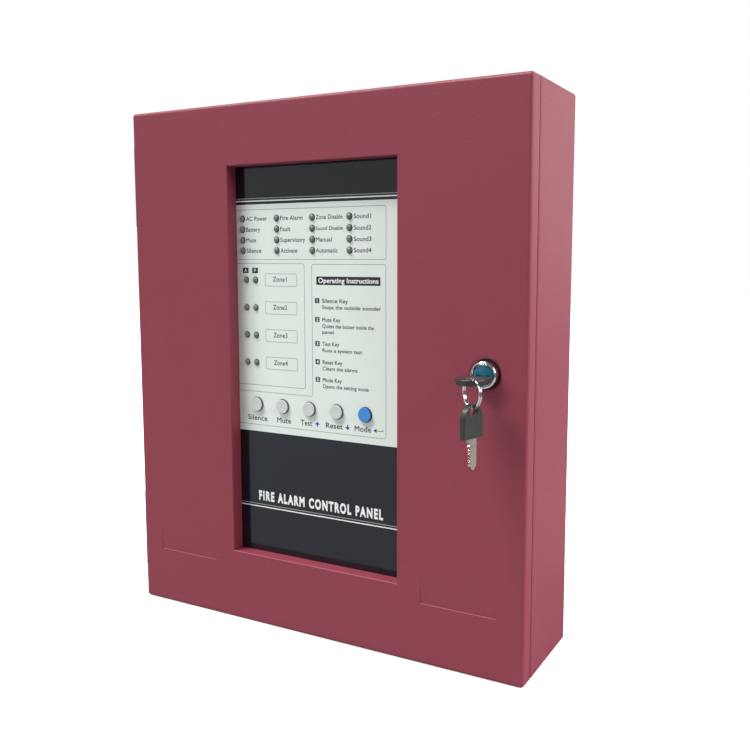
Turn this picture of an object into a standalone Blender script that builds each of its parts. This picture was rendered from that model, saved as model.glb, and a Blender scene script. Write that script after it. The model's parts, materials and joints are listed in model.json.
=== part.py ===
"""Wall-mounted fire alarm control panel: a folded steel box with a hinged, key-locked door.

Frame: origin at the centre of the back face that lies on the wall, +Z up, +X to the right
as seen from the front, and the door faces -Y. Lengths are in metres.
"""
from math import atan2, cos, pi, radians, sin, sqrt

import bmesh
import bpy
from mathutils import Matrix, Vector

# ---------------------------------------------------------------- driving dimensions
WIDTH = 0.320            # over the box sides
HEIGHT = 0.380
DEPTH = 0.085            # wall to the door's front face
SHEET = 0.0012           # steel sheet
FOLD_RADIUS = 0.0025     # outside radius of the folded edges
CLEAR = 0.0003           # gap left between neighbouring pieces
DOOR_DEPTH = 0.013       # how deep the door tray's returns are
SEAM = 0.0008            # gap between the door's returns and the box
LIP = 0.012              # inward lip round the box's front opening

WINDOW_WIDTH = 0.1386
WINDOW_HEIGHT = 0.2839
WINDOW_Z = 0.0044        # the window's centre above the panel's centre
WINDOW_ROUND = 0.0008    # rounding of the window's front rim
FLANGE_DEPTH = 0.0102    # how far the window's rim is folded inwards

LOCK_X = 0.132
LOCK_Z = 0.009
DISH_RADIUS = 0.0115     # pressed dish round the lock
DISH_DEPTH = 0.0015
BARREL_RADIUS = 0.0080
PLUG_RADIUS = 0.0058
CAM_REACH = 0.024
CAM_WIDTH = 0.015
KEY_DROP = 0.0014        # the keyway lies this far below the lock's axis
KEY_TRAVEL = 0.030

HINGE_X = -WIDTH / 2 - 0.0028
HINGE_Y = -DEPTH + DOOR_DEPTH
HINGE_Z = 0.135          # the two hinges' centres, above and below the middle
HINGE_LENGTH = 0.060
KNUCKLE_RADIUS = 0.0025
PIN_RADIUS = 0.0010

LABEL_DEPTH = 0.0105     # the label's face behind the door's front face
LABEL_THICK = 0.0005
CARRIER_THICK = 0.0015
BOARD_DEPTH = 0.0196     # the display board's front face behind the door's front face
BOARD_THICK = 0.0016

LED_RADIUS = 0.0024
LED_STAND = 0.0015       # how far a lens stands out of the label
STATUS_X = [-0.0641 + 0.0304 * column for column in range(4)]
STATUS_Z = [0.1092 - 0.00765 * row for row in range(4)]
ZONE_LED_X = [-0.0615, -0.0532]
ZONE_Z = [0.0652 - 0.02015 * zone for zone in range(4)]

BUTTON_NAMES = ["silence", "mute", "test", "reset", "mode"]
BUTTON_X = [-0.0532 + 0.0231 * place for place in range(5)]
BUTTON_Z = -0.0263
BUTTON_RADIUS = 0.0050
BUTTON_STAND = 0.0018    # how far a cap stands out of the label
BUTTON_TRAVEL = 0.0010

HEAD_WIDTH = 0.019       # key heads
HEAD_LENGTH = 0.0208
HEAD_THICK = 0.0038
BLADE_WIDTH = 0.0078
BLADE_THICK = 0.0020
BLADE_LENGTH = 0.0190    # of the part outside the head
TANG = 0.0070            # blade inside the head
RING_RADIUS = 0.00885    # to the middle of the band
RING_BAND = 0.0013       # the ring's wire, across
RING_TURN = radians(-36)  # how far the hanging ring is turned from the door's plane

BOX_FRONT = -DEPTH + DOOR_DEPTH + SEAM
BACK_INSIDE = -SHEET


def behind(depth):
    """The y of a plane this far behind the door's front face."""
    return -DEPTH + depth


# ---------------------------------------------------------------- scene and materials
for old in list(bpy.data.objects):
    bpy.data.objects.remove(old, do_unlink=True)

PARTS = bpy.data.collections.new("fire_alarm_control_panel")
CUTTERS = bpy.data.collections.new("cutters")
for collection in (PARTS, CUTTERS):
    bpy.context.scene.collection.children.link(collection)
CUTTERS.hide_render = True


def linear(channel):
    """One sRGB channel, 0 to 255, as linear light."""
    value = channel / 255
    return value / 12.92 if value <= 0.04045 else ((value + 0.055) / 1.055) ** 2.4


def material(name, colour, roughness, metallic=0.0):
    made = bpy.data.materials.new(name)
    made.use_nodes = True
    shader = made.node_tree.nodes["Principled BSDF"]
    shader.inputs["Base Color"].default_value = [linear(channel) for channel in colour] + [1.0]
    shader.inputs["Roughness"].default_value = roughness
    shader.inputs["Metallic"].default_value = metallic
    made.diffuse_color = shader.inputs["Base Color"].default_value
    return made


RED_PAINT = material("red_powder_coat", (138, 66, 78), 0.45)
BLACK_SHEET = material("black_sheet", (30, 31, 33), 0.5)
LABEL_FILM = material("label_film", (206, 214, 206), 0.2)
ZINC = material("zinc_plated_steel", (178, 180, 182), 0.35, 1.0)
CHROME = material("chrome", (214, 216, 220), 0.1, 1.0)
BRASS = material("brass", (190, 160, 96), 0.3, 1.0)
NICKEL = material("nickel_silver", (196, 192, 182), 0.3, 1.0)
BLUE_PLASTIC = material("blue_plastic", (24, 96, 128), 0.25)
KEY_PLASTIC = material("black_key_plastic", (44, 45, 41), 0.4)
GREY_PLASTIC = material("pale_button_plastic", (204, 211, 204), 0.35)
MODE_PLASTIC = material("blue_button_plastic", (64, 126, 200), 0.3)
LED_PLASTIC = material("led_plastic", (70, 74, 66), 0.2)
BOARD_GREEN = material("circuit_board", (28, 88, 54), 0.4)
TERMINAL_GREEN = material("terminal_plastic", (46, 128, 76), 0.4)
DARK_PLASTIC = material("dark_plastic", (34, 34, 36), 0.45)
RELAY_PLASTIC = material("relay_plastic", (40, 74, 140), 0.4)
NYLON = material("white_nylon", (222, 222, 214), 0.5)
CORE_STEEL = material("core_steel", (96, 98, 102), 0.5, 0.8)
COIL_TAPE = material("coil_tape", (206, 172, 62), 0.5)
BATTERY_CASE = material("battery_case", (56, 58, 62), 0.55)
FUSE_GLASS = material("fuse_glass", (214, 216, 214), 0.1)


# ---------------------------------------------------------------- shape helpers
def add_block(mesh, low, high):
    """A box between two corners, as a scaled cube."""
    low, high = Vector(low), Vector(high)
    made = bmesh.ops.create_cube(mesh, size=1.0)["verts"]
    bmesh.ops.scale(mesh, vec=high - low, verts=made)
    bmesh.ops.translate(mesh, vec=(low + high) / 2, verts=made)


def add_rod(mesh, start, end, radius, segments=24, end_radius=None):
    """A cylinder or a cone frustum between two points."""
    start, end = Vector(start), Vector(end)
    along = end - start
    turn = Vector((0, 0, 1)).rotation_difference(along).to_matrix().to_4x4()
    bmesh.ops.create_cone(
        mesh,
        cap_ends=True,
        segments=segments,
        radius1=radius,
        radius2=radius if end_radius is None else end_radius,
        depth=along.length,
        matrix=Matrix.Translation((start + end) / 2) @ turn,
    )


def solid(name, shapes, look=None):
    """One object from a list of ("block", ...) and ("rod", ...) shapes. With no look it is a cutter."""
    mesh = bmesh.new()
    for kind, *values in shapes:
        if kind == "block":
            add_block(mesh, *values)
        else:
            add_rod(mesh, *values)
    data = bpy.data.meshes.new(name)
    mesh.to_mesh(data)
    mesh.free()
    return register(bpy.data.objects.new(name, data), look)


def register(piece, look):
    """Puts an object with the parts, or with the cutters if it has no material."""
    if look is None:
        CUTTERS.objects.link(piece)
        piece.hide_render = True
        piece.display_type = "WIRE"
        return piece
    PARTS.objects.link(piece)
    piece.data.materials.append(look)
    if piece.type == "MESH":
        smooth(piece)
    return piece


def smooth(piece):
    piece.data.shade_smooth()
    piece.data.set_sharp_from_angle(angle=radians(35))


def flat_curve(name, loops, thickness):
    """A flat 2D curve whose inner loops are holes, extruded evenly to both sides of its own plane."""
    curve = bpy.data.curves.new(name, "CURVE")
    curve.dimensions = "2D"
    curve.fill_mode = "BOTH"
    curve.extrude = thickness / 2
    for loop in loops:
        spline = curve.splines.new("POLY")
        spline.points.add(len(loop) - 1)
        for point, (across, up) in zip(spline.points, loop):
            point.co = (across, up, 0, 1)
        spline.use_cyclic_u = True
    return bpy.data.objects.new(name, curve)


def flat_solid(name, loops, thickness, frame, look=None):
    """A plate or a cutter from flat loops, as a closed mesh. frame takes (across, up, out) to the world."""
    guide = flat_curve(name + "_outline", loops, thickness)
    bpy.context.scene.collection.objects.link(guide)
    graph = bpy.context.evaluated_depsgraph_get()
    data = bpy.data.meshes.new_from_object(guide.evaluated_get(graph))
    bpy.data.objects.remove(guide, do_unlink=True)
    mesh = bmesh.new()
    mesh.from_mesh(data)
    bmesh.ops.remove_doubles(mesh, verts=mesh.verts, dist=1e-6)
    bmesh.ops.recalc_face_normals(mesh, faces=mesh.faces)
    bmesh.ops.transform(mesh, matrix=frame, verts=mesh.verts)
    mesh.to_mesh(data)
    mesh.free()
    data.name = name
    return register(bpy.data.objects.new(name, data), look)


def front_plane(y):
    """Loops drawn as (x, z) stand in the plane at this y."""
    return Matrix.Translation((0, y, 0)) @ Matrix.Rotation(radians(90), 4, "X")


def side_plane(x):
    """Loops drawn as (y, z) stand in the plane at this x."""
    return Matrix.Translation((x, 0, 0)) @ Matrix(((0, 0, 1, 0), (1, 0, 0, 0), (0, 1, 0, 0), (0, 0, 0, 1)))


def floor_plane(z):
    """Loops drawn as (x, y) lie in the plane at this z."""
    return Matrix.Translation((0, 0, z))


def plate(name, loops, y_front, y_back, look=None):
    """A plate parallel to the door, from loops drawn as (x, z)."""
    return flat_solid(name, loops, y_back - y_front, front_plane((y_front + y_back) / 2), look)


def circle(across, up, radius, count=16, start=0.0):
    return [
        (across + radius * cos(start + 2 * pi * k / count), up + radius * sin(start + 2 * pi * k / count))
        for k in range(count)
    ]


def rectangle(left, right, low, high):
    return [(left, low), (right, low), (right, high), (left, high)]


def turned(name, profile, centre, axis, look=None, steps=32):
    """A turned solid. profile lists (radius, distance along the axis), down its outer side."""
    data = bpy.data.meshes.new(name)
    points = [(radius, 0, along) for radius, along in profile]
    edges = [(k, k + 1) for k in range(len(points) - 1)]
    if profile[0][0] > 0:
        edges.append((len(points) - 1, 0))
    data.from_pydata(points, edges, [])
    piece = bpy.data.objects.new(name, data)
    screw = piece.modifiers.new("turn", "SCREW")
    screw.steps = steps
    screw.render_steps = steps
    screw.use_merge_vertices = True
    screw.merge_threshold = 1e-6
    bpy.context.scene.collection.objects.link(piece)
    graph = bpy.context.evaluated_depsgraph_get()
    made = bpy.data.meshes.new_from_object(piece.evaluated_get(graph))
    bpy.data.objects.remove(piece, do_unlink=True)
    mesh = bmesh.new()
    mesh.from_mesh(made)
    bmesh.ops.remove_doubles(mesh, verts=mesh.verts, dist=1e-6)
    bmesh.ops.dissolve_degenerate(mesh, dist=1e-6, edges=mesh.edges)
    bmesh.ops.recalc_face_normals(mesh, faces=mesh.faces)
    turn = Vector((0, 0, 1)).rotation_difference(Vector(axis)).to_matrix().to_4x4()
    bmesh.ops.transform(mesh, matrix=Matrix.Translation(centre) @ turn, verts=mesh.verts)
    mesh.to_mesh(made)
    mesh.free()
    made.name = name
    return register(bpy.data.objects.new(name, made), look)


def merged(name, pieces):
    """Several cutters or added shapes, none touching another, as one helper mesh."""
    mesh = bmesh.new()
    for piece in pieces:
        mesh.from_mesh(piece.data)
        bpy.data.objects.remove(piece, do_unlink=True)
    data = bpy.data.meshes.new(name)
    mesh.to_mesh(data)
    mesh.free()
    return register(bpy.data.objects.new(name, data), None)


def boolean(piece, helper, operation):
    step = piece.modifiers.new(helper.name, "BOOLEAN")
    step.operation = operation
    step.solver = "EXACT"
    step.object = helper
    return piece


def cut(piece, helper):
    return boolean(piece, helper, "DIFFERENCE")


def join(piece, helper):
    return boolean(piece, helper, "UNION")


def bevel(piece, width, segments=2, angle=40):
    step = piece.modifiers.new("bevel", "BEVEL")
    step.width = width
    step.segments = segments
    step.limit_method = "ANGLE"
    step.angle_limit = radians(angle)
    return piece


def hollow(piece):
    """Turns a closed outer skin into sheet metal."""
    step = piece.modifiers.new("sheet", "SOLIDIFY")
    step.thickness = SHEET
    step.offset = -1
    return piece


def pivot(name, place, parent=None):
    """An empty on a joint's axis. What moves with the joint is parented to it."""
    empty = bpy.data.objects.new(name, None)
    empty.empty_display_size = 0.01
    PARTS.objects.link(empty)
    empty.location = Vector(place) - (world_place(parent) if parent else Vector())
    empty.parent = parent
    return empty


def world_place(thing):
    place = thing.location.copy()
    while thing.parent:
        thing = thing.parent
        place += thing.location
    return place


def carry(parent, *pieces):
    """Parents pieces to a pivot and puts their origins on its axis. Their cutters follow them."""
    offset = world_place(parent)
    for piece in pieces:
        helpers = [step.object for step in piece.modifiers if step.type == "BOOLEAN"]
        for moved in [piece] + helpers:
            moved.data.transform(Matrix.Translation(-offset))
            moved.parent = parent


# ---------------------------------------------------------------- steel box
def back_box():
    outside = ("block", (-WIDTH / 2, BOX_FRONT, -HEIGHT / 2), (WIDTH / 2, 0, HEIGHT / 2))
    box = solid("back_box", [outside], RED_PAINT)
    bevel(box, FOLD_RADIUS - 0.0005, 2)
    hollow(box)
    opening = solid(
        "front_opening",
        [
            (
                "block",
                (-WIDTH / 2 + LIP, BOX_FRONT - 0.01, -HEIGHT / 2 + LIP),
                (WIDTH / 2 - LIP, BOX_FRONT + 0.004, HEIGHT / 2 - LIP),
            )
        ],
    )
    cut(box, opening)
    posts = [("rod", (x, -0.0005, z), (x, BOARD_BACK + CLEAR, z), 0.0030, 10) for x, z in BOARD_CORNERS]
    earth_stud = ("rod", (0.120, -0.0005, -0.110), (0.120, -0.015, -0.110), 0.0025, 10)
    join(box, solid("posts", posts + [earth_stud]))
    bores = [("rod", (x, -0.0030, z), (x, BOARD_BACK - 0.002, z), 0.0016, 8) for x, z in BOARD_CORNERS]
    cut(box, solid("post_bores", bores))
    places = [(x, z) for x in (-KEYHOLE_X, KEYHOLE_X) for z in (-KEYHOLE_Z, KEYHOLE_Z)]
    cut(box, merged("keyholes", [keyhole(x, z) for x, z in places]))
    cut(box, knock_out_grooves())
    return box


KEYHOLE_X = 0.135
KEYHOLE_Z = 0.150
KEYHOLE_HEAD = 0.0045    # radius that a screw's head passes
KEYHOLE_SLOT = 0.0025    # half the width of the slot above it
KEYHOLE_RISE = 0.009
KNOCK_OUT_RADIUS = 0.010
KNOCK_OUT_X = (-0.105, -0.035, 0.035, 0.105)
KNOCK_OUT_Y = -0.036


def keyhole(x, z):
    """A wall-fixing keyhole in the back: a round hole with a narrower slot running up from it."""
    meet = atan2(sqrt(KEYHOLE_HEAD**2 - KEYHOLE_SLOT**2), KEYHOLE_SLOT)
    sweep = 2 * pi - (pi - 2 * meet)
    head = [pi - meet + sweep * k / 10 for k in range(11)]
    loop = [(x + KEYHOLE_HEAD * cos(a), z + KEYHOLE_HEAD * sin(a)) for a in head]
    top = [pi * k / 4 for k in range(5)]
    loop += [(x + KEYHOLE_SLOT * cos(a), z + KEYHOLE_RISE + KEYHOLE_SLOT * sin(a)) for a in top]
    return plate("keyhole", [loop], -SHEET - 0.002, 0.002)


def knock_out_grooves():
    """The score lines round the cable knock-outs in the top. The discs stay in place."""
    loops = []
    for x in KNOCK_OUT_X:
        loops.append(circle(x, KNOCK_OUT_Y, KNOCK_OUT_RADIUS + 0.0004, 18))
        loops.append(circle(x, KNOCK_OUT_Y, KNOCK_OUT_RADIUS - 0.0004, 18))
    return flat_solid("knock_out_grooves", loops, 0.001, floor_plane(HEIGHT / 2))


# ---------------------------------------------------------------- door
STUD_PLACES = [(x, z) for x in (-0.088, 0.088) for z in (-0.150, 0.158)]
STUD_RADIUS = 0.0015
MARK_WIDTH = 0.0543      # shallow pressed marks near the door's lower corners
MARK_HEIGHT = 0.020
MARK_DEPTH = 0.0005
MARK_X = 0.1141
MARK_LOW = -0.1478


def door():
    rear = -DEPTH + DOOR_DEPTH
    outside = ("block", (-WIDTH / 2, -DEPTH, -HEIGHT / 2), (WIDTH / 2, rear + 0.012, HEIGHT / 2))
    tray = solid("door", [outside], RED_PAINT)
    bevel(tray, FOLD_RADIUS, 3)
    hollow(tray)
    cut(tray, solid("door_rear", [("block", (-0.2, rear, -0.25), (0.2, rear + 0.03, 0.25))]))
    half_width, half_height = WINDOW_WIDTH / 2, WINDOW_HEIGHT / 2
    flange_low = (-half_width - SHEET, behind(SHEET * 0.6), WINDOW_Z - half_height - SHEET)
    flange_high = (half_width + SHEET, behind(FLANGE_DEPTH), WINDOW_Z + half_height + SHEET)
    root, tip = behind(SHEET * 0.6), behind(0.017)
    studs = [("rod", (x, root, z), (x, tip, z), STUD_RADIUS, 10) for x, z in STUD_PLACES]
    cut(tray, pressed_marks())
    join(tray, solid("window_flange", [("block", flange_low, flange_high)] + studs))
    cut(tray, window_cutter())
    join(tray, turned("lock_dish", dish_back(), lock_point(0), (0, 1, 0), None, 28))
    return cut(tray, turned("lock_dish_face", dish_face(), lock_point(0), (0, 1, 0), None, 28))


def lock_point(depth):
    return (LOCK_X, behind(depth), LOCK_Z)


def dish_back():
    """Half section of the dish's back, as (radius, depth). It is sunk into the door's sheet."""
    wide = DISH_RADIUS + SHEET * 0.8
    deep = DISH_DEPTH + SHEET
    return [(0, deep), (wide - 0.0018, deep), (wide, SHEET * 0.9), (wide, SHEET * 0.6), (0, SHEET * 0.6)]


def dish_face():
    """Half section of the dish's face and of the lock's hole through it."""
    hole = BARREL_RADIUS + CLEAR
    return [
        (0, 0.010),
        (hole, 0.010),
        (hole, DISH_DEPTH),
        (DISH_RADIUS - 0.0018, DISH_DEPTH),
        (DISH_RADIUS, 0),
        (DISH_RADIUS, -0.002),
        (0, -0.002),
    ]


def window_cutter():
    """The window's clear opening, flared at the door's face so that its rim is rounded."""
    mesh = bmesh.new()
    half_width, half_height = WINDOW_WIDTH / 2, WINDOW_HEIGHT / 2
    low = (-half_width, -DEPTH - 0.002, WINDOW_Z - half_height)
    high = (half_width, behind(0.02), WINDOW_Z + half_height)
    add_block(mesh, low, high)
    steps = [WINDOW_ROUND * (1 - sin(radians(angle))) for angle in (0, 30, 60, 90)]
    for depth in steps:
        everything = mesh.verts[:] + mesh.edges[:] + mesh.faces[:]
        bmesh.ops.bisect_plane(mesh, geom=everything, plane_co=(0, behind(depth), 0), plane_no=(0, 1, 0))
    for vert in mesh.verts:
        inside = min(max((vert.co.y + DEPTH) / WINDOW_ROUND, 0), 1)
        flare = WINDOW_ROUND * (1 - sqrt(1 - (1 - inside) ** 2))
        vert.co.x += flare if vert.co.x > 0 else -flare
        vert.co.z += flare if vert.co.z > WINDOW_Z else -flare
    data = bpy.data.meshes.new("window_opening")
    mesh.to_mesh(data)
    mesh.free()
    return register(bpy.data.objects.new("window_opening", data), None)


def pressed_marks():
    """Two shallow wedge-shaped marks, deepest along their lower edges and running out at the top."""
    tilt = atan2(MARK_DEPTH, MARK_HEIGHT)
    marks = []
    for side in (-1, 1):
        low, high = (-MARK_WIDTH / 2, -0.01, 0), (MARK_WIDTH / 2, 0, MARK_HEIGHT + 0.002)
        block = solid("mark", [("block", low, high)])
        place = Matrix.Translation((side * MARK_X, behind(MARK_DEPTH), MARK_LOW))
        block.data.transform(place @ Matrix.Rotation(tilt, 4, "X"))
        marks.append(block)
    return merged("pressed_marks", marks)


# ---------------------------------------------------------------- hinges
def hinge(name, middle):
    """A butt hinge on the outside of the left seam: two knuckles on the box, one on the door, and a pin."""
    low, high = middle - HINGE_LENGTH / 2, middle + HINGE_LENGTH / 2
    third = HINGE_LENGTH / 3
    leaf_x = HINGE_X + KNUCKLE_RADIUS - 0.0005
    reach = KNUCKLE_RADIUS + 0.0007
    box_edge, door_edge = HINGE_Y + 0.018, HINGE_Y - 0.0105
    box_loop = [
        (HINGE_Y, low),
        (box_edge, low),
        (box_edge, high),
        (HINGE_Y, high),
        (HINGE_Y, high - third),
        (HINGE_Y + reach, high - third),
        (HINGE_Y + reach, low + third),
        (HINGE_Y, low + third),
    ]
    door_loop = [
        (door_edge, low),
        (HINGE_Y - reach, low),
        (HINGE_Y - reach, low + third + CLEAR),
        (HINGE_Y, low + third + CLEAR),
        (HINGE_Y, high - third - CLEAR),
        (HINGE_Y - reach, high - third - CLEAR),
        (HINGE_Y - reach, high),
        (door_edge, high),
    ]
    box_leaf = flat_solid(f"hinge_{name}_box_leaf", [box_loop], 0.001, side_plane(leaf_x), RED_PAINT)
    door_leaf = flat_solid(f"hinge_{name}_door_leaf", [door_loop], 0.001, side_plane(leaf_x), RED_PAINT)
    box_knuckles = [knuckle(low, low + third), knuckle(high - third, high)]
    join(box_leaf, solid(f"hinge_{name}_box_knuckles", box_knuckles))
    door_knuckle = knuckle(low + third + CLEAR, high - third - CLEAR)
    join(door_leaf, solid(f"hinge_{name}_door_knuckle", [door_knuckle]))
    for number, leaf in enumerate((box_leaf, door_leaf)):
        ends = (HINGE_X, HINGE_Y, low - 0.01), (HINGE_X, HINGE_Y, high + 0.01)
        bore = ("rod", *ends, PIN_RADIUS + 0.0002, 14)
        cut(leaf, solid(f"hinge_{name}_bore_{number}", [bore]))
    pin_profile = [
        (0, high + 0.0020),
        (0.0014, high + 0.0018),
        (0.0020, high + 0.0010),
        (0.0020, high + CLEAR),
        (PIN_RADIUS, high + CLEAR),
        (PIN_RADIUS, low - 0.0006),
        (0, low - 0.0006),
    ]
    pin = turned(f"hinge_{name}_pin", pin_profile, (HINGE_X, HINGE_Y, 0), (0, 0, 1), ZINC, 14)
    return box_leaf, door_leaf, pin


def knuckle(low, high):
    return ("rod", (HINGE_X, HINGE_Y, low), (HINGE_X, HINGE_Y, high), KNUCKLE_RADIUS, 18)


# ---------------------------------------------------------------- fascia on the back of the door
SPACER_PLACES = [(x, z) for x in (-0.070, 0.062) for z in (-0.041, 0.121)]
CARRIER_BACK = LABEL_DEPTH + LABEL_THICK + CLEAR + CARRIER_THICK
LENS_PLACES = [(x, z) for z in STATUS_Z for x in STATUS_X] + [(x, z) for z in ZONE_Z for x in ZONE_LED_X]


def button_holes():
    return [circle(x, BUTTON_Z, BUTTON_RADIUS + 0.0005, 16) for x in BUTTON_X]


def fascia_label():
    """The printed film. Every lens and button stands through it."""
    loops = [rectangle(-0.080, 0.080, -0.146, 0.154)] + button_holes()
    loops += [circle(x, z, LED_RADIUS + 0.0002, 10) for x, z in LENS_PLACES]
    return plate("fascia_label", loops, behind(LABEL_DEPTH), behind(LABEL_DEPTH + LABEL_THICK), LABEL_FILM)


def fascia_carrier():
    """The plate that the film lies on, with one slot for each row of lenses."""
    loops = [rectangle(-0.094, 0.094, -0.158, 0.166)] + button_holes()
    loops += [slot_for(STATUS_X, z) for z in STATUS_Z] + [slot_for(ZONE_LED_X, z) for z in ZONE_Z]
    loops += [circle(x, z, STUD_RADIUS + 0.0003, 10) for x, z in STUD_PLACES]
    loops += [circle(x, z, 0.0017, 8) for x, z in SPACER_PLACES]
    front = LABEL_DEPTH + LABEL_THICK + CLEAR
    return plate("fascia_carrier", loops, behind(front), behind(CARRIER_BACK), BLACK_SHEET)


def slot_for(columns, z):
    reach = LED_RADIUS + 0.0003
    return rectangle(min(columns) - reach, max(columns) + reach, z - reach, z + reach)


def fascia_nut(number, x, z):
    loops = [circle(x, z, 0.0032, 6), circle(x, z, STUD_RADIUS + 0.0002, 10)]
    front, rear = behind(CARRIER_BACK + CLEAR), behind(CARRIER_BACK + 0.0027)
    return plate(f"fascia_nut_{number}", loops, front, rear, ZINC)


def lens_profile(depth_end):
    """A round-nosed lens as (radius, depth), from its tip back to the holder."""
    tip = LABEL_DEPTH - LED_STAND
    nose = [radians(angle) for angle in (90, 60, 30, 0)]
    return [(0, depth_end), (LED_RADIUS, depth_end)] + [
        (LED_RADIUS * sin(angle), tip + LED_RADIUS * (1 - cos(angle))) for angle in nose
    ]


def led_bar(name, columns, z):
    """A holder with one lens for each column, which stand through the carrier and the label."""
    front, rear = CARRIER_BACK + 2 * CLEAR, BOARD_DEPTH - CLEAR
    low = (min(columns) - 0.0035, behind(front), z - 0.0031)
    high = (max(columns) + 0.0035, behind(rear), z + 0.0031)
    holder = ("block", low, high)
    bar = solid(name, [holder], LED_PLASTIC)
    lenses = [
        turned("lens", lens_profile(front + 0.001), (x, -DEPTH, z), (0, 1, 0), None, 10) for x in columns
    ]
    return join(bar, merged(name + "_lenses", lenses))


def button(name, x):
    """A round cap with a flange that stops it behind the carrier, and a stem that works its switch."""
    front = LABEL_DEPTH - BUTTON_STAND
    flange = CARRIER_BACK + 0.0004
    profile = [
        (0, flange + 0.0014),
        (0.0018, flange + 0.0014),
        (0.0018, flange + 0.0010),
        (0.0064, flange + 0.0010),
        (0.0064, flange),
        (BUTTON_RADIUS, flange),
        (BUTTON_RADIUS, front + 0.0005),
        (BUTTON_RADIUS - 0.0005, front),
        (0, front),
    ]
    look = MODE_PLASTIC if name == "mode" else GREY_PLASTIC
    return turned(f"button_{name}", profile, (x, -DEPTH, BUTTON_Z), (0, 1, 0), look, 20)


def display_board():
    """The board behind the carrier, with the five switches in front and its socket on the back."""
    low_x, high_x, low_z, high_z = -0.074, 0.066, -0.045, 0.125
    loops = [rectangle(low_x, high_x, low_z, high_z)] + [circle(x, z, 0.0017, 8) for x, z in SPACER_PLACES]
    back = BOARD_DEPTH + BOARD_THICK
    board = plate("display_board", loops, behind(BOARD_DEPTH), behind(back), BOARD_GREEN)
    inside = BOARD_DEPTH + BOARD_THICK / 2
    low_z, high_z = BUTTON_Z - 0.003, BUTTON_Z + 0.003
    face = behind(BOARD_DEPTH - 0.0032)
    switches = [("block", (x - 0.003, face, low_z), (x + 0.003, behind(inside), high_z)) for x in BUTTON_X]
    join(board, solid("switch_bodies", switches))
    tip, root = behind(BOARD_DEPTH - 0.0037), behind(BOARD_DEPTH - 0.002)
    plungers = [("rod", (x, tip, BUTTON_Z), (x, root, BUTTON_Z), 0.0017, 8) for x in BUTTON_X]
    join(board, solid("switch_plungers", plungers))
    chips = [
        ("block", (-0.030, behind(inside), 0.030), (-0.016, behind(back + 0.0016), 0.044)),
        ("block", (0.010, behind(inside), 0.060), (0.020, behind(back + 0.0014), 0.067)),
        ("block", (-0.018, behind(inside), -0.005), (0.012, behind(back + 0.0060), 0.004)),
    ]
    join(board, solid("display_chips", chips))
    slot = ("block", (-0.016, behind(back + 0.0008), -0.003), (0.010, behind(back + 0.01), 0.002))
    return cut(board, solid("display_socket_slot", [slot]))


def board_spacer(number, x, z):
    front, rear = CARRIER_BACK + CLEAR, BOARD_DEPTH - CLEAR
    profile = [
        (0, rear + 0.0016),
        (0.0013, rear + 0.0016),
        (0.0013, rear),
        (0.0035, rear),
        (0.0035, front),
        (0.0013, front),
        (0.0013, front - 0.0014),
        (0, front - 0.0014),
    ]
    return turned(f"board_spacer_{number}", profile, (x, -DEPTH, z), (0, 1, 0), NYLON, 8)


# ---------------------------------------------------------------- cam lock
def lock_body():
    profile = [
        (PLUG_RADIUS + CLEAR, 0.0154),
        (BARREL_RADIUS, 0.0154),
        (BARREL_RADIUS, 0.0012),
        (0.00875, 0.0012),
        (0.00875, -0.0040),
        (0.0082, -0.0047),
        (0.0076, -0.0050),
        (0.0070, -0.0048),
        (0.0069, -0.0032),
        (PLUG_RADIUS + CLEAR, -0.0032),
    ]
    return turned("lock_body", profile, lock_point(0), (0, 1, 0), CHROME, 28)


def lock_nut():
    loops = [circle(LOCK_X, LOCK_Z, 0.0118, 6), circle(LOCK_X, LOCK_Z, BARREL_RADIUS + CLEAR, 24)]
    return plate("lock_nut", loops, behind(0.0030), behind(0.0066), ZINC)


def keyway(name, front, rear):
    half, thick = BLADE_WIDTH / 2 + CLEAR, BLADE_THICK / 2 + CLEAR
    centre = LOCK_Z - KEY_DROP
    low = (LOCK_X - half, behind(front), centre - thick)
    high = (LOCK_X + half, behind(rear), centre + thick)
    return solid(name, [("block", low, high)])


def lock_plug():
    profile = [(0, 0.0157), (PLUG_RADIUS, 0.0157), (PLUG_RADIUS, -0.0029), (0, -0.0029)]
    plug = turned("lock_plug", profile, lock_point(0), (0, 1, 0), BRASS, 24)
    low = (LOCK_X - 0.004, behind(0.015), LOCK_Z - 0.004)
    high = (LOCK_X + 0.004, behind(0.0183), LOCK_Z + 0.004)
    join(plug, solid("plug_boss", [("block", low, high)]))
    cut(plug, keyway("plug_keyway", -0.01, 0.0145))
    return cut(plug, solid("plug_screw_hole", [("rod", lock_point(0.0152), lock_point(0.03), 0.0016, 10)]))


def lock_insert():
    profile = [(0, -0.0032), (0.0066, -0.0032), (0.0066, -0.0041), (0.0061, -0.0046), (0, -0.0046)]
    disc = turned("lock_insert", profile, lock_point(0), (0, 1, 0), BLUE_PLASTIC, 24)
    return cut(disc, keyway("insert_keyway", -0.01, 0.0))


def lock_cam():
    """A flat arm that points up when unlocked and reaches behind the box's right lip when turned."""
    half = CAM_WIDTH / 2
    foot = [pi + pi * k / 10 for k in range(11)]
    tip_radius = half * 0.9
    loop = [(LOCK_X + half * cos(a), LOCK_Z + half * sin(a)) for a in foot]
    tip = [pi * k / 10 for k in range(11)]
    tip_z = LOCK_Z + CAM_REACH - tip_radius
    loop += [(LOCK_X + tip_radius * cos(a), tip_z + tip_radius * sin(a)) for a in tip]
    hole = rectangle(LOCK_X - 0.0043, LOCK_X + 0.0043, LOCK_Z - 0.0043, LOCK_Z + 0.0043)
    return plate("lock_cam", [loop, hole], behind(0.0160), behind(0.0180), ZINC)


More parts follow.
